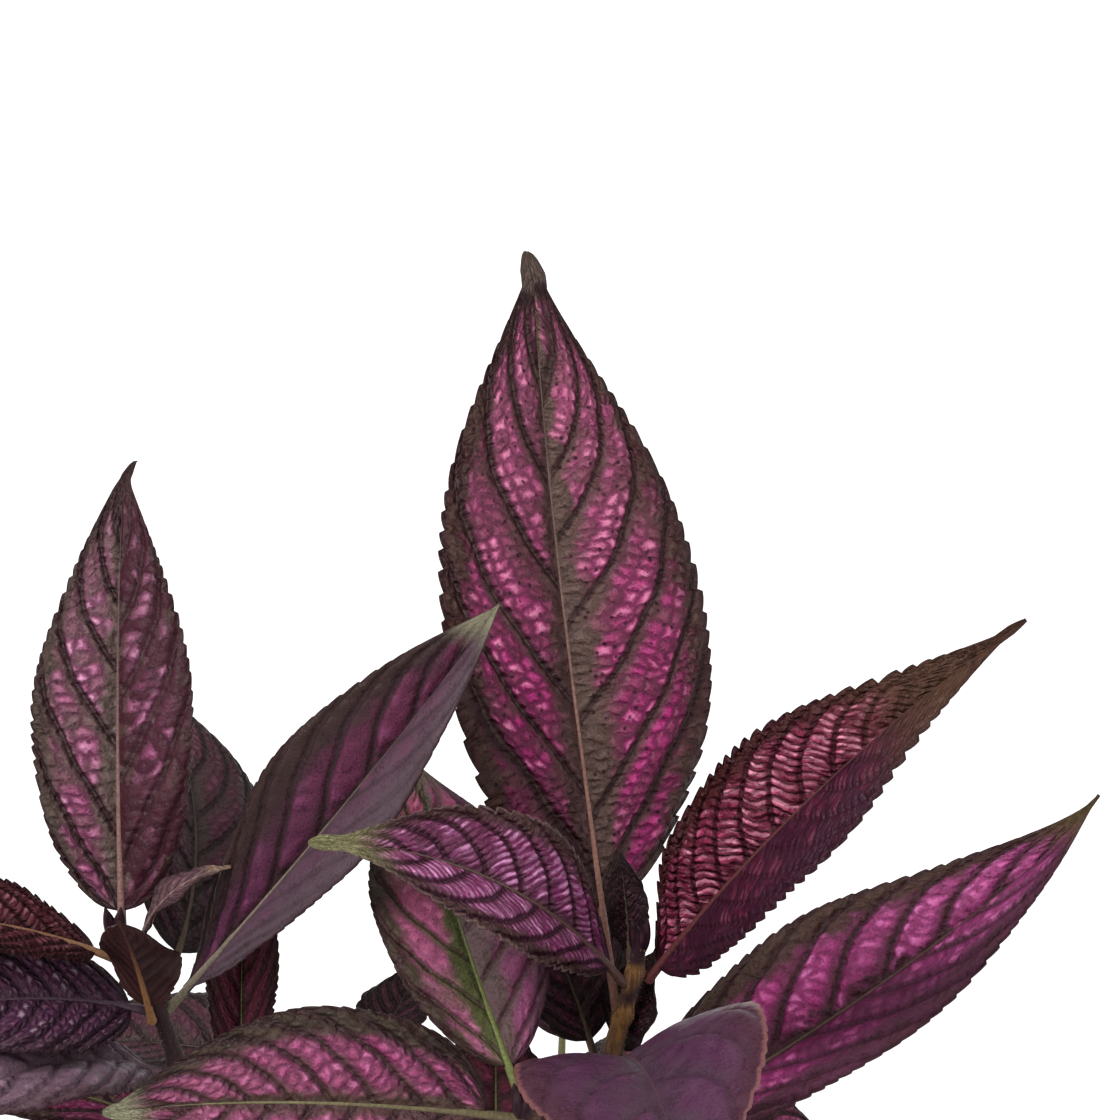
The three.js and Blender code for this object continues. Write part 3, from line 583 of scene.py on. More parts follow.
def make_upper_group(veins):
    """The upper skin of a leaf: bright between the veins, dull along the midrib, dark at the edge."""
    bench, given, out = new_group(
        "leaf_upper_skin",
        [("Net", "Vector"), ("Place", "Vector"), ("Spot", "Vector"), ("Rows", "Float")]
        + [(shade, "Color") for shade in SHADES] + [(amount, "Float") for amount in AMOUNTS],
        [("Colour", "Color"), ("Roughness", "Float"), ("Height", "Float")])
    net = use_group(bench, veins, {
        "Veins": given["Net"], "Place": given["Place"], "Spot": given["Spot"], "Rows": given["Rows"],
        "Wide": given["vein_wide"]})
    along, away, climb, grain, blotch, cloud, patch = (
        net[k] for k in ("Along", "Out", "Climb", "Grain", "Blotch", "Cloud", "Patch"))
    ragged = bench.scaled(blotch, 0.36, -0.18)
    climbing = bench.math("ADD", climb, ragged)
    reach = bench.math("ADD", away, ragged)
    inward = bench.times(reach, bench.ramp(along, 0.1, 0.85, 0.8, 2.2))
    panel = bench.times(
        bench.ramp(climbing, -0.05, 0.1),
        bench.ramp(climbing, 0.6, 0.95, 1, given["top"]),
        bench.ramp(inward, given["inner_from"], given["inner_to"]),
        bench.ramp(reach, given["outer_from"], given["outer_to"], 1, 0),
        bench.ramp(along, given["tip_from"], given["tip_to"], 1, 0),
        bench.ramp(along, 0.0, 0.06),
        bench.ramp(cloud, 0.3, 0.48, 0.4, 1),
        bench.scaled(bench.ramp(patch, 0.2, 0.7, 1, 0), bench.times(given["patches"], -1.0), 1))
    bright = bench.blend(bench.ramp(along, 0.25, 0.7), given["deep"], given["glow"])
    ground = bench.blend(bench.ramp(away, 0.45, 0.9), given["band"], given["edge"])
    ground = bench.blend(bench.ramp(blotch, 0.4, 0.7, 0, 0.35), ground, given["core"])
    lit = bench.times(net["Right"], bench.ramp(away, 0.1, 0.5, 0.7, 0))
    ground = bench.blend(lit, ground, given["core"])
    spots = bench.scaled(
        bench.times(given["mottle"], -1.0),
        bench.ramp(bench.math("ADD", patch, bench.times(cloud, 1.2)), 1.15, 1.4), 1)
    # The half on the right turns to the right colour: partly its own colour and partly painted light, shade
    # on young and pale, a sheen on folded.
    shady = bench.times(net["Right"], given["turn"], spots)
    open_side = bench.scaled(shady, -1, 1)
    clear_side = bench.scaled(shady, -0.75, 1)
    # Painted highlights: pale lights on the raised cells beside a side vein.
    crest_highlight = bench.times(
        panel, net["Pillow"], bench.ramp(climb, 0.04, 0.14), bench.ramp(climb, 0.3, 0.7, 1, 0.1),
        bench.ramp(bench.math("ADD", patch, blotch), 0.95, 1.25), given["crest_highlight"], open_side)
    # Painted highlights: a pale bar across each cell of the ladder.
    rung_highlight = bench.times(
        bench.ramp(panel, 0.1, 0.5), net["Rung highlight"], bench.ramp(climb, 0.03, 0.15),
        bench.ramp(climb, 0.75, 0.95, 1, 0), bench.ramp(blotch, 0.36, 0.6),
        bench.ramp(patch, 0.0, 0.6, 0.25, 1), given["rungs_and_rung_highlights"], open_side, open_side)
    regular = bench.math("SUBTRACT", net["Ladder"], net["Cross vein"])
    crevice = bench.scaled(given["rungs_and_rung_highlights"], regular, net["Cross vein"])
    cracked = bench.times(
        crevice, clear_side, given["cells"], bench.ramp(panel, 0.0, 0.4, 0.4, 1),
        bench.ramp(along, 0.5, 0.75, 1, 0.3), bench.ramp(grain, 0.3, 0.6, 0.6, 1))
    # Painted shade in the hollows between the cells, darkest towards their edges.
    hollow_shade = bench.times(
        bench.ramp(net["Pillow"], 0, 1, 0.6, 0), given["cells"], clear_side,
        bench.ramp(panel, 0, 1, 0.4, 1))
    lines = bench.times(given["lines"], clear_side)
    freckle = bench.times(
        bench.ramp(bench.dots(given["Spot"], WAVES["freckle"]), 0.14, 0.3, 1, 0),
        bench.ramp(blotch, 0.42, 0.55))
    leaning = bench.scaled(net["Right"], -0.02, along)
    # A thin dark line of painted shadow across the blade at crease, as under a fold.
    fold = bench.math("ABSOLUTE", bench.math("SUBTRACT", leaning, given["crease_shadow"]))
    skin = bench.blend(panel, ground, bright)
    layers = (
        (shady, "right"), (crest_highlight, "pale"), (rung_highlight, "pale"), (cracked, "vein"), (hollow_shade, "vein"),
        # The wide dark stripe of a side vein: the vein's own colour and the painted shade of its groove.
        (bench.times(net["Side vein"], lines), "vein"),
        (bench.times(net["Core"], lines, 0.4), "core"),
        (bench.times(freckle, given["speckle"]), "vein"),
        (bench.ramp(leaning, given["tip_from"], given["tip_to"]), "tip"),
        # the line of painted shadow at crease
        (bench.times(bench.ramp(fold, 0.003, 0.016, 1, 0), 0.9), "vein"),
        (bench.times(bench.ramp(away, 0.94, 0.985), 0.6), "rim"),
    )
    for share, label in layers:
        skin = bench.blend(share, skin, given[label])
    shade = bench.ramp(bench.math("ADD", grain, bench.times(blotch, 0.4)), 0.4, 1.0, 0.5, 1.5)
    bench.put(out["Colour"], bench.shaded(shade, skin))
    bench.put(out["Roughness"], bench.ramp(blotch, 0.3, 0.7, 0.36, 0.55))
    bumps = bench.scaled(
        net["Pillow"], bench.times(given["cells"], clear_side), bench.times(grain, 0.25))
    bench.put(out["Height"], bench.scaled(bench.times(net["Side vein"], lines), -0.5, bumps))
    return bench.tree


def upper_material(name, look, rows, group):
    material, bench, skin = new_material("leaf_upper_" + name)
    shades = {shade: colour(look[shade]) for shade in SHADES}
    amounts = {amount: look[amount] for amount in AMOUNTS}
    face = use_group(bench, group, {
        "Net": attribute(bench, "veins"), "Place": attribute(bench, "place"),
        "Spot": object_spot(bench), "Rows": rows, **shades, **amounts})
    dress(bench, skin, {
        "Base Color": face["Colour"], "Roughness": face["Roughness"], "Specular IOR Level": 0.18})
    bump(bench, skin, face["Height"], 1.2 * MM, 0.9)
    return material


def under_material(name, look, veins):
    """The underside: plain purple, with paler veins."""
    material, bench, skin = new_material("leaf_under_" + name)
    net = use_group(bench, veins, {
        "Veins": attribute(bench, "veins"), "Place": attribute(bench, "place"),
        "Spot": object_spot(bench), "Rows": 1.0, "Wide": 0.9})
    plain = colour(look["under"])
    low = bench.blend(bench.ramp(net["Blotch"], 0.3, 0.7), plain, colour(look["edge"]))
    ribbed = bench.blend(bench.times(net["Side vein"], 0.35), low, colour(look["rib"][1]))
    ribbed = bench.blend(bench.times(net["Cross vein"], 0.25), ribbed, colour(look["rib"][1]))
    shade = bench.ramp(net["Grain"], 0.25, 0.75, 0.8, 1.2)
    dress(bench, skin, {
        "Base Color": bench.shaded(shade, ribbed), "Roughness": 0.55, "Specular IOR Level": 0.3})
    bump(bench, skin, net["Grain"], 0.2 * MM, 0.5)
    return material


def rib_material(name, look):
    """The stalk and midrib, which fade from the colour at the stem to the colour at the tip."""
    material, bench, skin = new_material("leaf_rib_" + name)
    along = bench.split(attribute(bench, "place"))[0]
    spot = object_spot(bench)
    fade = bench.ramp(along, 0.15, 0.8)
    flecks = bench.ramp(bench.noise(spot, 1200, 3), 0.3, 0.7)
    ground = bench.blend(fade, *(colour(end) for end in look["rib"]))
    flecked = bench.blend(bench.times(flecks, 0.35), ground, colour(look["vein"]))
    dress(bench, skin, {"Base Color": flecked, "Roughness": 0.5, "Specular IOR Level": 0.3})
    bump(bench, skin, flecks, 0.15 * MM, 0.6)
    return material


# The leaves

def stem_radius(stem, node):
    share = (node + 1) / (len(stem["nodes"]) + 1)
    return mix(*stem["radius"], share) * (1 + NODE["swell"])


def half_width(leaf, t):
    """Half the width of a leaf at t, 0 at the stem and 1 at the tip."""
    foot = leaf["petiole"] / leaf["long"]
    share = np.clip((t - foot) / (1 - foot), 0, 1)
    belly = leaf["belly"]
    rising = np.sin(math.pi / 2 * np.minimum(share, belly) / belly) ** leaf["taper"]
    falling = (1 + np.cos(math.pi * (np.maximum(share, belly) - belly) / (1 - belly))) / 2
    shape = np.where(share < belly, rising, np.clip(falling, 0, 1) ** leaf["point"])
    nib = leaf["nib"] * np.sqrt(np.clip((1 - t) / 0.03, 0, 1)) * ease(0.7, 0.9, t)
    return np.maximum(np.maximum(shape * leaf["wide"] / 2, nib), mix(BLADE["stalk"], BLADE["tip"], t))


def midrib(leaf):
    """Places and frames at even steps along the midrib of a leaf that points along +X."""
    places, frames = [], []
    at = np.zeros(3)
    for step in range(STEPS + 1):
        t = step / STEPS
        slope = math.radians(leaf["rise"] + leaf["arch"] * t ** 1.3)
        turn = math.radians(leaf["sweep"] * t)
        roll = math.radians(leaf["roll"] + leaf["twist"] * t)
        level_part = math.cos(slope)
        along = np.array([level_part * math.cos(turn), level_part * math.sin(turn), math.sin(slope)])
        level = np.array([-math.sin(turn), math.cos(turn), 0.0])
        side = level * math.cos(roll) + np.cross(along, level) * math.sin(roll)
        places.append(at.copy())
        frames.append((along, side, np.cross(along, side)))
        at = at + along * leaf["long"] / STEPS
    return np.array(places), np.array(frames)


def read_between(values, t):
    """Rows given at even steps from 0 to 1, read at t on a smooth curve through them."""
    spot = np.clip(t, 0, 1) * STEPS
    step = np.clip(np.floor(spot).astype(int), 0, STEPS - 1)
    x = (spot - step)[..., None]
    last, here, after, beyond = (values[np.clip(step + k, 0, STEPS)] for k in (-1, 0, 1, 2))
    return here + 0.5 * x * (after - last + x * (
        2 * last - 5 * here + 4 * after - beyond + x * (3 * (here - after) + beyond - last)))


def vein_lines(leaf, s, v, width):
    """How far a place is along the side veins and the cross veins, and how wide a panel is there."""
    out = np.abs(v)
    blade_long = leaf["long"] - leaf["petiole"]
    lean, curl = leaf["lean"]
    start = s - lean * out - curl * out ** 3
    if leaf["forks"]:
        left, right = (np.interp(start, forks, np.arange(len(forks))) for forks in FORKS[leaf["forks"]])
        lateral = np.where(v < 0, right + RIGHT_FORKS, left)
    else:
        even = start * leaf["pairs"] + 2 + 0.12 * np.sin(7 * s + leaf["odd"] * 9)
        lateral = even + (v < 0) * RIGHT_VEINS
    lateral = lateral + 0.05 * np.sin(s * 37 + out * 5) * out
    steep = np.hypot(1 / blade_long, (lean + 3 * curl * out ** 2) / np.maximum(width, 3))
    slant = math.radians(leaf["slant"])
    reach = s * blade_long * math.cos(slant) + out * leaf["wide"] / 2 * math.sin(slant)
    uneven = 0.2 * np.sin(lateral * 5.1) + 0.25 * np.sin(reach * 0.21 + leaf["odd"] * 7)
    cross = reach / leaf["cell"] + uneven
    return lateral, cross, 1 / (leaf["pairs"] * steep)


def skin_height(leaf, s, v, lateral, cross, span):
    """The quilting of the blade, in millimetres: panels between side veins, and cells on them."""
    out = np.abs(v)
    climb = fraction(lateral)
    panel = np.sin(math.pi * np.clip(climb, 0, 1) ** 0.62)
    row = np.floor(lateral * leaf["rows"])
    cell = fraction(cross + fraction(row * GOLDEN))
    pillow = (4 * cell * (1 - cell)) ** 0.6
    if leaf["rows"] > 1:
        half = fraction(lateral * leaf["rows"])
        pillow = pillow * (0.4 + 0.6 * (4 * half * (1 - half)) ** 0.5)
    reach = ease(0.03, 0.12, out) * ease(1.0, 0.86, out) * ease(0.0, 0.1, s) * ease(1.0, 0.86, s)
    raised = leaf["relief"] * np.where(v < 0, leaf["relief_right"], 1.0)
    bulge = raised * panel * (0.35 + 0.65 * pillow) * reach
    groove = 0.4 * np.exp(-((0.5 - np.abs(climb - 0.5)) * span / 0.7) ** 2) * reach
    return bulge - groove


def leaf_place(leaf, line, frames, t, v, lift=0.0):
    """Points on the blade of a leaf that points along +X, from a place along it and one across it."""
    foot = leaf["petiole"] / leaf["long"]
    at = read_between(line, t)
    axes = read_between(frames.reshape(len(frames), 9), t).reshape(*np.shape(t), 3, 3)
    axes = axes / np.linalg.norm(axes, axis=-1, keepdims=True)
    side, up = axes[..., 1, :], axes[..., 2, :]
    width = half_width(leaf, t)
    blade = ease(foot, foot + 0.2, t)
    fold = math.radians(leaf["fold"]) * blade
    out = np.abs(v)
    ripple = leaf["wave"] * blade * np.sin(2 * math.pi * leaf["waves"] * t + np.where(v > 0, 0, 1.9))
    height = width * (np.sin(fold) * out + leaf["camber"] * 4 * out * (1 - out) * blade)
    height = height + ripple * out * out * np.minimum(1, 2 * width / leaf["wide"]) + lift
    hook_from, hook_side = leaf["hook"]
    bent = hook_side * np.clip((t - hook_from) / (1 - hook_from), 0, 1) ** 2
    across = width * np.cos(fold) * v + bent
    return at + side * across[..., None] + up * height[..., None]


def leaf_to_plant(leaf, line, frames, points):
    """Turns points of a leaf that points along +X to its heading and sets them at its stem, in metres."""
    stem = STEMS[leaf["stem"]]
    side, up = frames[0, 1], frames[0, 2]
    rib = BLADE["rib"][0]
    nearest = 0.0
    for v in (1, 0.5, 0, -0.5, -1):
        above = BLADE["rib_above"] if v == 0 else rib / 2
        for lift in (above, above - rib):
            nearest = min(nearest, (side * BLADE["stalk"] * v + up * lift)[0])
    heading = math.radians(leaf["heading"])
    clear = stem_radius(stem, leaf["node"]) + GAP - nearest
    x = points[..., 0] + clear
    y = points[..., 1]
    turned = np.stack([x * math.cos(heading) - y * math.sin(heading),
                       x * math.sin(heading) + y * math.cos(heading), points[..., 2]], axis=-1)
    return (turned + np.array(stem["nodes"][leaf["node"]])) * MM


def tooth_cut(leaf, s, right):
    """How deep the edge is cut at s along the blade, in millimetres: round-backed teeth."""
    count = s * leaf["teeth"] + 0.35 * np.sin(s * 13 + right * 2) + 0.2 * np.sin(s * 31 + leaf["odd"] * 9)
    depth = leaf["tooth"] * (0.8 + 0.35 * np.sin(s * 19 + leaf["odd"] * 5 + right))
    return depth * (1 - fraction(count)) ** 1.8 * ease(0.0, 0.1, s) * ease(0.92, 0.7, s)


def make_blade(name, leaf, line, frames, skins):
    """The blade: a grid drawn out to the leaf's shape and quilted, then given its thickness."""
    foot = leaf["petiole"] / leaf["long"]
    pitch = leaf["mesh"] * 1
    rows = int((leaf["long"] - leaf["petiole"]) / pitch)
    half_columns = max(6, int(leaf["wide"] / 2 / pitch))
    deselect()
    bpy.ops.mesh.primitive_grid_add(x_subdivisions=rows, y_subdivisions=2 * half_columns, size=2)
    piece = bpy.context.active_object
    piece.name = name
    flat = vertices_of(piece)
    s = (flat[:, 0] + 1) / 2
    across = np.abs(flat[:, 1])
    v = np.sign(flat[:, 1]) * (across - 0.5 * np.sin(2 * math.pi * across) / (2 * math.pi))
    v[across < 1e-6] = 0
    t = foot + (1 - foot) * s
    width = half_width(leaf, t)
    lateral, cross, span = vein_lines(leaf, s, v, width)
    lift = skin_height(leaf, s, v, lateral, cross, span) * np.minimum(1, 3 * width / leaf["wide"])
    cut = np.minimum(0.4, tooth_cut(leaf, s, v < 0) / width) * ease(0.72, 1.0, np.abs(v))
    points = leaf_place(leaf, line, frames, t, v * (1 - cut), lift)
    move_vertices(piece, leaf_to_plant(leaf, line, frames, points))
    give_attribute(piece, "veins", (lateral, cross, np.abs(v)))
    give_attribute(piece, "place", (s, v, span))
    for skin in skins:
        piece.data.materials.append(skin)
    apply_modifier(piece, "SOLIDIFY", thickness=BLADE["thick"] * MM, offset=0, material_offset=1)
    return piece


def make_rib(leaf, line, frames, material):
    """The stalk and midrib: a tube that starts in the stem and thins to the tip, half in the blade."""
    count = 40
    t = np.linspace(0, 0.97, count)
    radius = mix(1.3, 0.3, t ** 0.7) * (0.75 + 0.25 * min(1, leaf["wide"] / 45))
    centre = leaf_place(leaf, line, frames, t, np.zeros(count), -0.2 * radius)
    back = centre[0] - frames[0, 0] * 2.6
    path = leaf_to_plant(leaf, line, frames, np.vstack([back[None], centre]))
    radii = np.concatenate([[radius[0] * 1.15], radius]) * MM
    piece = make_tube("rib", path, radii, 8)
    ring = np.argmin(np.linalg.norm(vertices_of(piece)[:, None] - path[None], axis=2), axis=1)
    give_attribute(piece, "place", (np.concatenate([[0], t])[ring], 0, 0))
    piece.data.materials.append(material)
    return piece


def make_tube(name, path, radii, sides):
    """A round tube along a path of points, with a radius at each, closed at both ends."""
    curve = bpy.data.curves.new(name, "CURVE")
    curve.dimensions = "3D"
    curve.bevel_depth = 1.0
    curve.bevel_resolution = max(0, (sides - 4) // 2)
    curve.use_fill_caps = True
    spline = curve.splines.new("POLY")
    spline.points.add(len(path) - 1)
    spline.points.foreach_set("co", np.hstack([path, np.ones((len(path), 1))]).astype(np.float32).ravel())
    spline.points.foreach_set("radius", np.asarray(radii, np.float32))
    piece = bpy.data.objects.new(name, curve)
    bpy.context.scene.collection.objects.link(piece)
    only(piece)
    bpy.ops.object.convert(target="MESH")
    return bpy.context.active_object


def smooth_all(piece):
    piece.data.polygons.foreach_set("use_smooth", np.ones(len(piece.data.polygons), bool))
    piece.data.update()


def make_leaves():
    veins = make_vein_group()
    upper = make_upper_group(veins)
    skins = {}
    for number, (name, chosen) in enumerate(LEAVES.items()):
        stem, place = name.rsplit("_", 1)
        leaf = {**LEAF, "stem": stem, "node": int(place[0]) - 1, **chosen, "odd": fraction(number * GOLDEN)}
        look = {**LOOK, **LOOKS[leaf["look"]]}
        key = f"{leaf['look']}_{leaf['rows']}"
        if key not in skins:
            skins[key] = [upper_material(key, look, leaf["rows"], upper),
                          under_material(key, look, veins), rib_material(key, look)]
        line, frames = midrib(leaf)
        blade = make_blade("quilted_leaf_" + name, leaf, line, frames, skins[key])
        rib = make_rib(leaf, line, frames, skins[key][2])
        join(blade, [rib])
        smooth_all(blade)
        settle(blade, "leaf", "leaf_" + name)


# The stems

def stem_material():
    material, bench, skin = new_material("hairy_tan_stem")
    spot = object_spot(bench)
    streak = bench.noise(bench.stretch(spot, (1400, 1400, 120)), 1.0, 3)
    patch = bench.noise(spot, 55, 2)
    tan = bench.blend(bench.ramp(streak, 0.35, 0.65), colour((146, 104, 54)), colour((92, 60, 38)))
    skinned = bench.blend(bench.ramp(patch, 0.38, 0.54), tan, colour((42, 18, 26)))
    dress(bench, skin, {
        "Base Color": skinned, "Roughness": 0.6, "Specular IOR Level": 0.25, "Sheen Weight": 0.08})
    bump(bench, skin, streak, 0.3 * MM, 0.7)
    return material


def hair_material():
    material, bench, skin = new_material("pale_stem_hair")
    patch = bench.noise(object_spot(bench), 300, 1)
    pale = bench.blend(patch, colour((214, 190, 150)), colour((176, 140, 104)))
    dress(bench, skin, {"Base Color": pale, "Roughness": 0.5})
    return material


def bud_material():
    material, bench, skin = new_material("folded_bud")
    grain = bench.noise(bench.stretch(object_spot(bench), (900, 900, 300)), 1.0, 3)
    dark = bench.blend(bench.ramp(grain, 0.35, 0.65), colour((58, 34, 42)), colour((30, 12, 20)))
    dress(bench, skin, {"Base Color": dark, "Roughness": 0.55, "Specular IOR Level": 0.2})
    bump(bench, skin, grain, 0.3 * MM, 0.7)
    return material


def stem_path(stem):
    """Points up a stem with a radius at each; it swells at its nodes."""
    x, y = stem["soil"]
    stations = [(x, y, SOIL["edge"] - ROOT_DEPTH), (x, y, SOIL["edge"] + SOIL["mound"] + 6)]
    stations += stem["nodes"] + [stem["tip"]]
    path, radii = [], []
    for k in range(len(stations) - 1):
        low, high = np.array(stations[k], float), np.array(stations[k + 1], float)
        count = max(4, int((high[2] - low[2]) / NODE["step"]))
        for step in range(count):
            share = step / count
            path.append(mix(low, high, share))
            start = 0 if k == 0 else k - 1
            plain = mix(*stem["radius"], (start + share) / len(stem["nodes"]) * 0.86)
            swell = 0.0
            if k >= 2:
                swell = max(swell, 1 - np.linalg.norm(path[-1] - low) / NODE["reach"])
            if 1 <= k <= len(stem["nodes"]):
                swell = max(swell, 1 - np.linalg.norm(path[-1] - high) / NODE["reach"])
            radii.append(plain * (1 + NODE["swell"] * swell ** 1.5))
    path.append(np.array(stem["tip"], float))
    radii.append(stem["radius"][1] * 0.7)
    return np.array(path), np.array(radii)


def make_hairs(path, radii, seed):
    """Short pale hairs that stand out from a stem: thin three-sided spikes, as one mesh, in metres."""
    draw = random.Random(seed)
    points, faces = [], []
    wide = HAIR["half_width"]
    for _ in range(HAIR["count"]):
        spot = draw.uniform(HAIR["first_ring"], len(path) - 1.001)
        step = int(spot)
        at = mix(path[step], path[step + 1], spot - step)
        along = path[step + 1] - path[step]
        along = along / max(1e-9, np.linalg.norm(along))
        angle = draw.uniform(0, 2 * math.pi)
        first = np.cross(along, (0.31, 0.77, 0.55))
        first /= np.linalg.norm(first)
        out = first * math.cos(angle) + np.cross(along, first) * math.sin(angle)
        radius = mix(radii[step], radii[step + 1], spot - step)
        root = at + out * radius * 0.9
        tip = root + (out + along * draw.uniform(-0.3, 0.6)) * draw.uniform(*HAIR["long"])
        base = len(points)
        points += [root + along * wide, root + np.cross(out, along) * wide, root - along * wide, tip]
        faces += [(base, base + 1, base + 3), (base + 1, base + 2, base + 3), (base + 2, base, base + 3),
                  (base + 2, base + 1, base)]
    mesh = bpy.data.meshes.new("hairs")
    mesh.from_pydata([tuple(p * MM) for p in points], [], faces)
    piece = bpy.data.objects.new("hairs", mesh)
    bpy.context.scene.collection.objects.link(piece)
    return piece


def make_buds(stem, material):
    """The pair of folded young leaves that ends a stem."""
    buds = []
    for way in (-1, 1):
        path, radii = [], []
        for k in range(BUD["rings"]):
            share = k / (BUD["rings"] - 1)
            up = mix(BUD["low"], BUD["high"], share)
            path.append(np.array(stem["tip"], float) + np.array([way * (0.9 + 0.16 * up), 0, up]))
            swell = math.sin(math.pi * min(1, 0.25 + share * 0.75)) ** 0.8
            radii.append(max(BUD["least"], BUD["radius"] * swell))
        bud = make_tube("bud", np.array(path) * MM, np.array(radii) * MM, 10)
        bud.data.materials.append(material)
        buds.append(bud)
    return buds


def make_stems():
    bark, fuzz, bud = stem_material(), hair_material(), bud_material()
    for number, (name, stem) in enumerate(STEMS.items()):
        path, radii = stem_path(stem)
        piece = make_tube("leafy_stem_" + name, path * MM, radii * MM, 16)
        piece.data.materials.append(bark)
        hairs = make_hairs(path, radii, number + 1)
        hairs.data.materials.append(fuzz)
        join(piece, [hairs] + make_buds(stem, bud))
        smooth_all(piece)
        settle(piece, "stem", "stem_" + name)


# The pot

def pot_material():
    material, bench, skin = new_material("matte_clay_coloured_plastic")
    spot = object_spot(bench)
    cloud = bench.noise(spot, 22, 4)
    grain = bench.noise(spot, 1500, 2)
    rings = bench.noise(bench.stretch(spot, (3, 3, 900)), 1.0, 2)
    base = bench.blend(bench.ramp(cloud, 0.3, 0.7), colour((176, 100, 68)), colour((158, 86, 58)))
    dusty = bench.blend(bench.times(bench.ramp(bench.noise(spot, 140, 5), 0.55, 0.8), 0.35), base,
                        colour((198, 150, 124)))
    dress(bench, skin, {"Base Color": dusty, "Roughness": bench.ramp(cloud, 0.2, 0.8, 0.5, 0.7)})
    bump(bench, skin, bench.math("ADD", grain, bench.times(rings, 0.6)), 0.12 * MM, 0.7)
    return material


def pot_profile():
    """Radius and height of the pot's section, from the middle of its underside round to its floor."""
    step = POT["height"] - POT["rim_depth"]
    inside = POT["foot_depth"] + POT["floor"]
    foot, shoulder, rim, wall = (POT[k] for k in ("foot_radius", "shoulder_radius", "rim_radius", "wall"))
    return [
        (POT["pad_radius"], 0), (POT["pad_radius"] + 2, POT["foot_depth"]),
        (foot - POT["foot_width"] - 1, POT["foot_depth"]), (foot - POT["foot_width"], 0), (foot - 0.8, 0),
        (foot, 0.8), (shoulder, step), (rim - 1, step + 0.6), (rim + 0.6, POT["height"] - 1),
        (rim, POT["height"]), (rim - wall + 0.4, POT["height"]), (rim - wall - 1, step + 1.8),
        (shoulder - wall, step - 0.6), (foot - wall + 1.4, inside + 2), (foot - wall - 1, inside),
    ]


def make_pot():
    """A circle drawn out ring by ring to the pot's section, then pierced by its drain holes."""
    profile = pot_profile()
    deselect()
    first_radius, first_height = profile[0]
    bpy.ops.mesh.primitive_circle_add(
        vertices=POT["sides"], radius=first_radius * MM, fill_type="NGON",
        location=(0, 0, first_height * MM))
    pot = bpy.context.active_object
    pot.name = "clay_coloured_pot"
    bpy.ops.object.mode_set(mode="EDIT")
    bpy.ops.mesh.select_all(action="SELECT")
    bpy.ops.mesh.flip_normals()
    bpy.ops.mesh.select_mode(type="EDGE")
    bpy.ops.mesh.select_all(action="SELECT")
    for (radius, height), (next_radius, next_height) in zip(profile, profile[1:]):
        climb = (next_height - height) * MM
        bpy.ops.mesh.extrude_edges_move(TRANSFORM_OT_translate={"value": (0, 0, climb)})
        grow = next_radius / radius
        bpy.ops.transform.resize(value=(grow, grow, 1), center_override=(0, 0, 0))
    bpy.ops.mesh.edge_face_add()
    bpy.ops.mesh.select_all(action="SELECT")
    bpy.ops.mesh.normals_make_consistent(inside=False)
    bpy.ops.object.mode_set(mode="OBJECT")
    bpy.ops.object.transform_apply(location=True, rotation=True, scale=True)
    for k in range(DRAIN["count"]):
        angle = 2 * math.pi * k / DRAIN["count"]
        deselect()
        bpy.ops.mesh.primitive_cylinder_add(
            vertices=32, radius=DRAIN["radius"] * MM, depth=20 * MM,
            location=Vector((math.cos(angle), math.sin(angle), 0)) * DRAIN["ring"] * MM)
        drill = bpy.context.active_object
        apply_modifier(pot, "BOOLEAN", operation="DIFFERENCE", object=drill)
        bpy.data.objects.remove(drill)
    apply_modifier(pot, "BEVEL", width=0.5 * MM, segments=3, limit_method="ANGLE",
                   angle_limit=math.radians(30))
    only(pot)
    bpy.ops.object.shade_smooth_by_angle(angle=math.radians(35))
    pot.data.materials.clear()
    pot.data.materials.append(pot_material())
    settle(pot, "pot", "pot")


# The soil

def soil_material():
    material, bench, skin = new_material("crumbly_potting_soil")
    spot = object_spot(bench)
    coarse = bench.noise(spot, 160, 4, 0.6)
    fine = bench.noise(spot, 900, 3)
    damp = bench.blend(bench.ramp(coarse, 0.35, 0.65), colour((40, 28, 22)), colour((74, 54, 42)))
    flecks = bench.times(bench.ramp(fine, 0.55, 0.75), 0.6)
    dress(bench, skin, {"Base Color": bench.blend(flecks, damp, colour((104, 82, 64))), "Roughness": 0.9})
    bump(bench, skin, bench.math("ADD", coarse, fine), 0.8 * MM, 0.8)
    return material


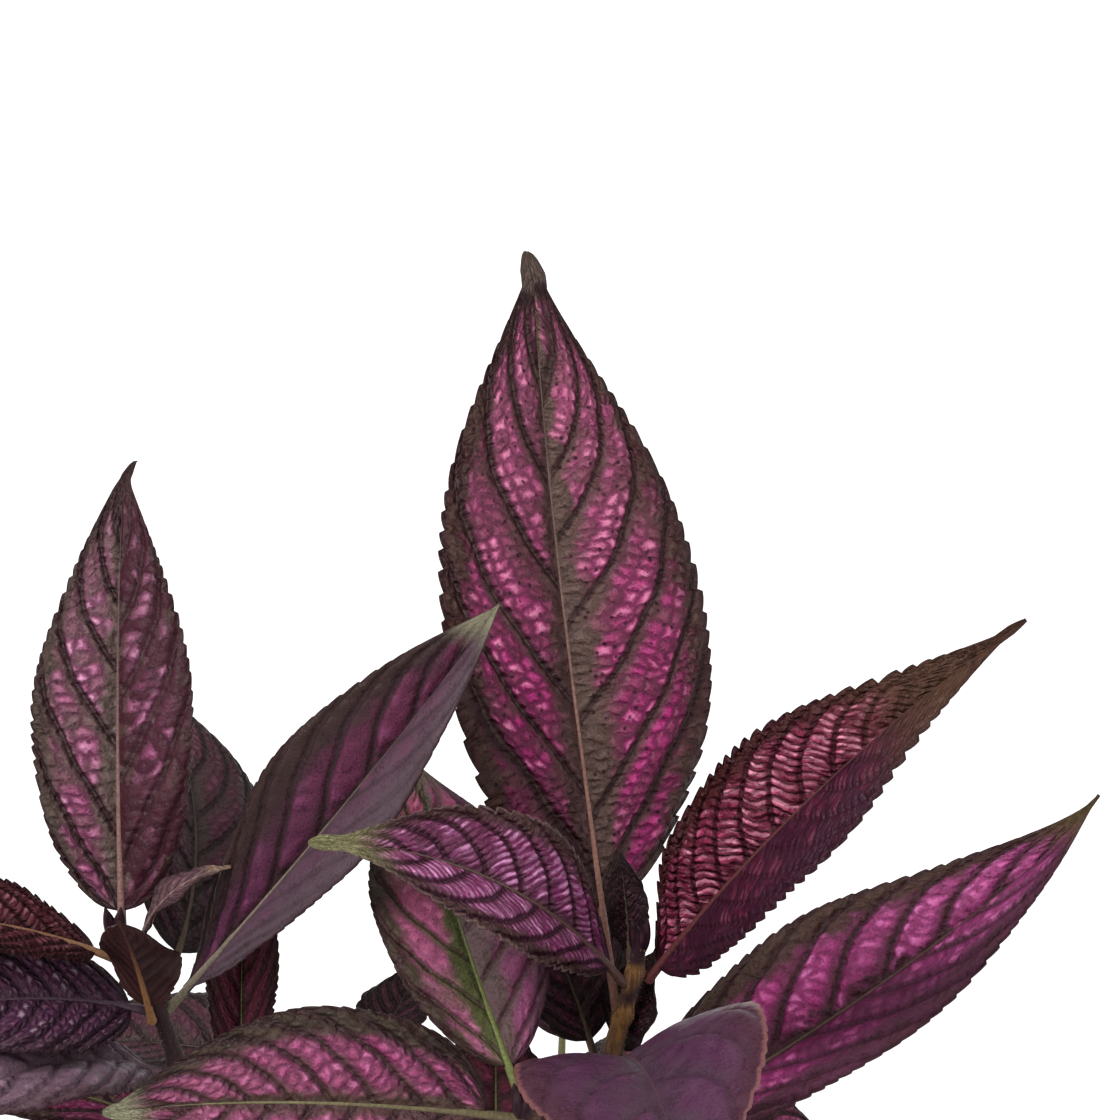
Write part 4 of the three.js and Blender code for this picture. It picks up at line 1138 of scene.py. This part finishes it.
def make_soil():
    """A mound that fills the pot to under its rim, with crumbs pressed into it."""
    inside = POT["foot_depth"] + POT["floor"]
    low = POT["foot_radius"] - POT["wall"] + 1.4
    step = POT["height"] - POT["rim_depth"]
    share = (SOIL["edge"] - inside - 2) / (step - 0.6 - inside - 2)
    top = mix(low, POT["shoulder_radius"] - POT["wall"], share) - GAP
    deselect()
    bpy.ops.mesh.primitive_cylinder_add(
        vertices=96, radius=top * MM, depth=(SOIL["edge"] - inside - GAP) * MM, end_fill_type="TRIFAN",
        location=(0, 0, (SOIL["edge"] + inside + GAP) / 2 * MM))
    soil = bpy.context.active_object
    soil.name = "crumbly_soil"
    bpy.ops.object.transform_apply(location=True, rotation=True, scale=True)
    bpy.ops.object.mode_set(mode="EDIT")
    bpy.ops.mesh.select_all(action="SELECT")
    bpy.ops.mesh.subdivide(number_cuts=11)
    bpy.ops.object.mode_set(mode="OBJECT")
    points = vertices_of(soil) / MM
    out = np.hypot(points[:, 0], points[:, 1])
    upper = points[:, 2] > SOIL["edge"] - 0.01
    level = np.clip((points[:, 2] - inside) / (SOIL["edge"] - inside), 0, 1)
    taper = mix((low - GAP - 0.4) / top, 1.0, level)
    points[:, 0] *= taper
    points[:, 1] *= taper
    lumps = np.array([noise.fractal(Vector(p) * 0.11, 1.0, 2.1, 4) for p in points])
    mound = SOIL["mound"] * (1 - np.minimum(1, out / top) ** 2)
    points[:, 2] += np.where(upper, mound + SOIL["lump"] * lumps, 0)
    move_vertices(soil, points * MM)
    draw = random.Random(SOIL["seed"])
    crumbs = []
    for _ in range(SOIL["crumbs"] // (1)):
        angle, away = draw.uniform(0, 2 * math.pi), top * 0.97 * math.sqrt(draw.random())
        size = draw.uniform(0.5, 1.9) ** 1.3
        height = SOIL["edge"] + SOIL["mound"] * (1 - (away / top) ** 2) + draw.uniform(-0.2, 0.5)
        deselect()
        bpy.ops.mesh.primitive_ico_sphere_add(
            subdivisions=1, radius=size * MM, rotation=[draw.uniform(0, 3) for _ in range(3)],
            location=(away * MM * math.cos(angle), away * MM * math.sin(angle), height * MM),
            scale=(1, draw.uniform(0.6, 1), draw.uniform(0.5, 0.9)))
        crumb = bpy.context.active_object
        rough = vertices_of(crumb)
        rough *= np.array([[draw.uniform(0.7, 1.25)] for _ in rough])
        move_vertices(crumb, rough)
        crumbs.append(crumb)
    join(soil, crumbs)
    only(soil)
    bpy.ops.object.transform_apply(location=True, rotation=True, scale=True)
    bpy.ops.object.shade_smooth_by_angle(angle=math.radians(40))
    soil.data.materials.clear()
    soil.data.materials.append(soil_material())
    settle(soil, "soil", "soil")


# The floor, the light and the camera

# In metres, degrees and, for the lens, millimetres.
VIEW = {"target": (0.035, 0.0, 0.360), "pitch": 30, "distance": 0.650, "lens": 90}
# Each lamp: where it shines towards, its strength, and the angle that it spreads over in degrees.
LAMPS = {"key": ((0.75, 0.45, -1.35), 2.75, 28), "fill": ((-0.8, 0.5, -0.7), 0.4, 60)}


def make_floor():
    deselect()
    bpy.ops.mesh.primitive_plane_add(size=12)
    floor = bpy.context.active_object
    floor.name = "pale_floor"
    material, bench, skin = new_material("pale_floor")
    tone = bench.noise(object_spot(bench), 3, 2)
    pale = bench.blend(tone, (0.93, 0.93, 0.93, 1), (0.95, 0.95, 0.95, 1))
    dress(bench, skin, {"Base Color": pale, "Roughness": 0.9})
    floor.data.materials.append(material)


def make_lights():
    world = bpy.context.scene.world or bpy.data.worlds.new("studio")
    bpy.context.scene.world = world
    world.use_nodes = True
    sky = world.node_tree.nodes["Background"]
    sky.inputs["Color"].default_value = (1.0, 1.0, 1.0, 1)
    sky.inputs["Strength"].default_value = 0.66
    for name, (toward, strength, spread) in LAMPS.items():
        lamp = bpy.data.lights.new(name, "SUN")
        lamp.angle = math.radians(spread)
        lamp.energy = strength
        holder = bpy.data.objects.new(name, lamp)
        holder.rotation_euler = Vector(toward).to_track_quat("-Z", "Y").to_euler()
        bpy.context.scene.collection.objects.link(holder)


def make_camera():
    pitch = math.radians(VIEW["pitch"])
    target = Vector(VIEW["target"])
    back = Vector((0, -math.cos(pitch), math.sin(pitch))) * VIEW["distance"]
    lens = bpy.data.cameras.new("camera")
    lens.lens = VIEW["lens"]
    lens.sensor_width = 36
    lens.clip_start = 0.01
    camera = bpy.data.objects.new("camera", lens)
    camera.location = target + back
    camera.rotation_euler = (math.pi / 2 - pitch, 0, 0)
    bpy.context.scene.collection.objects.link(camera)
    bpy.context.scene.camera = camera


make_camera()
make_lights()
make_floor()
make_pot()
make_soil()
make_stems()
make_leaves()
bpy.context.scene.view_settings.view_transform = "Standard"
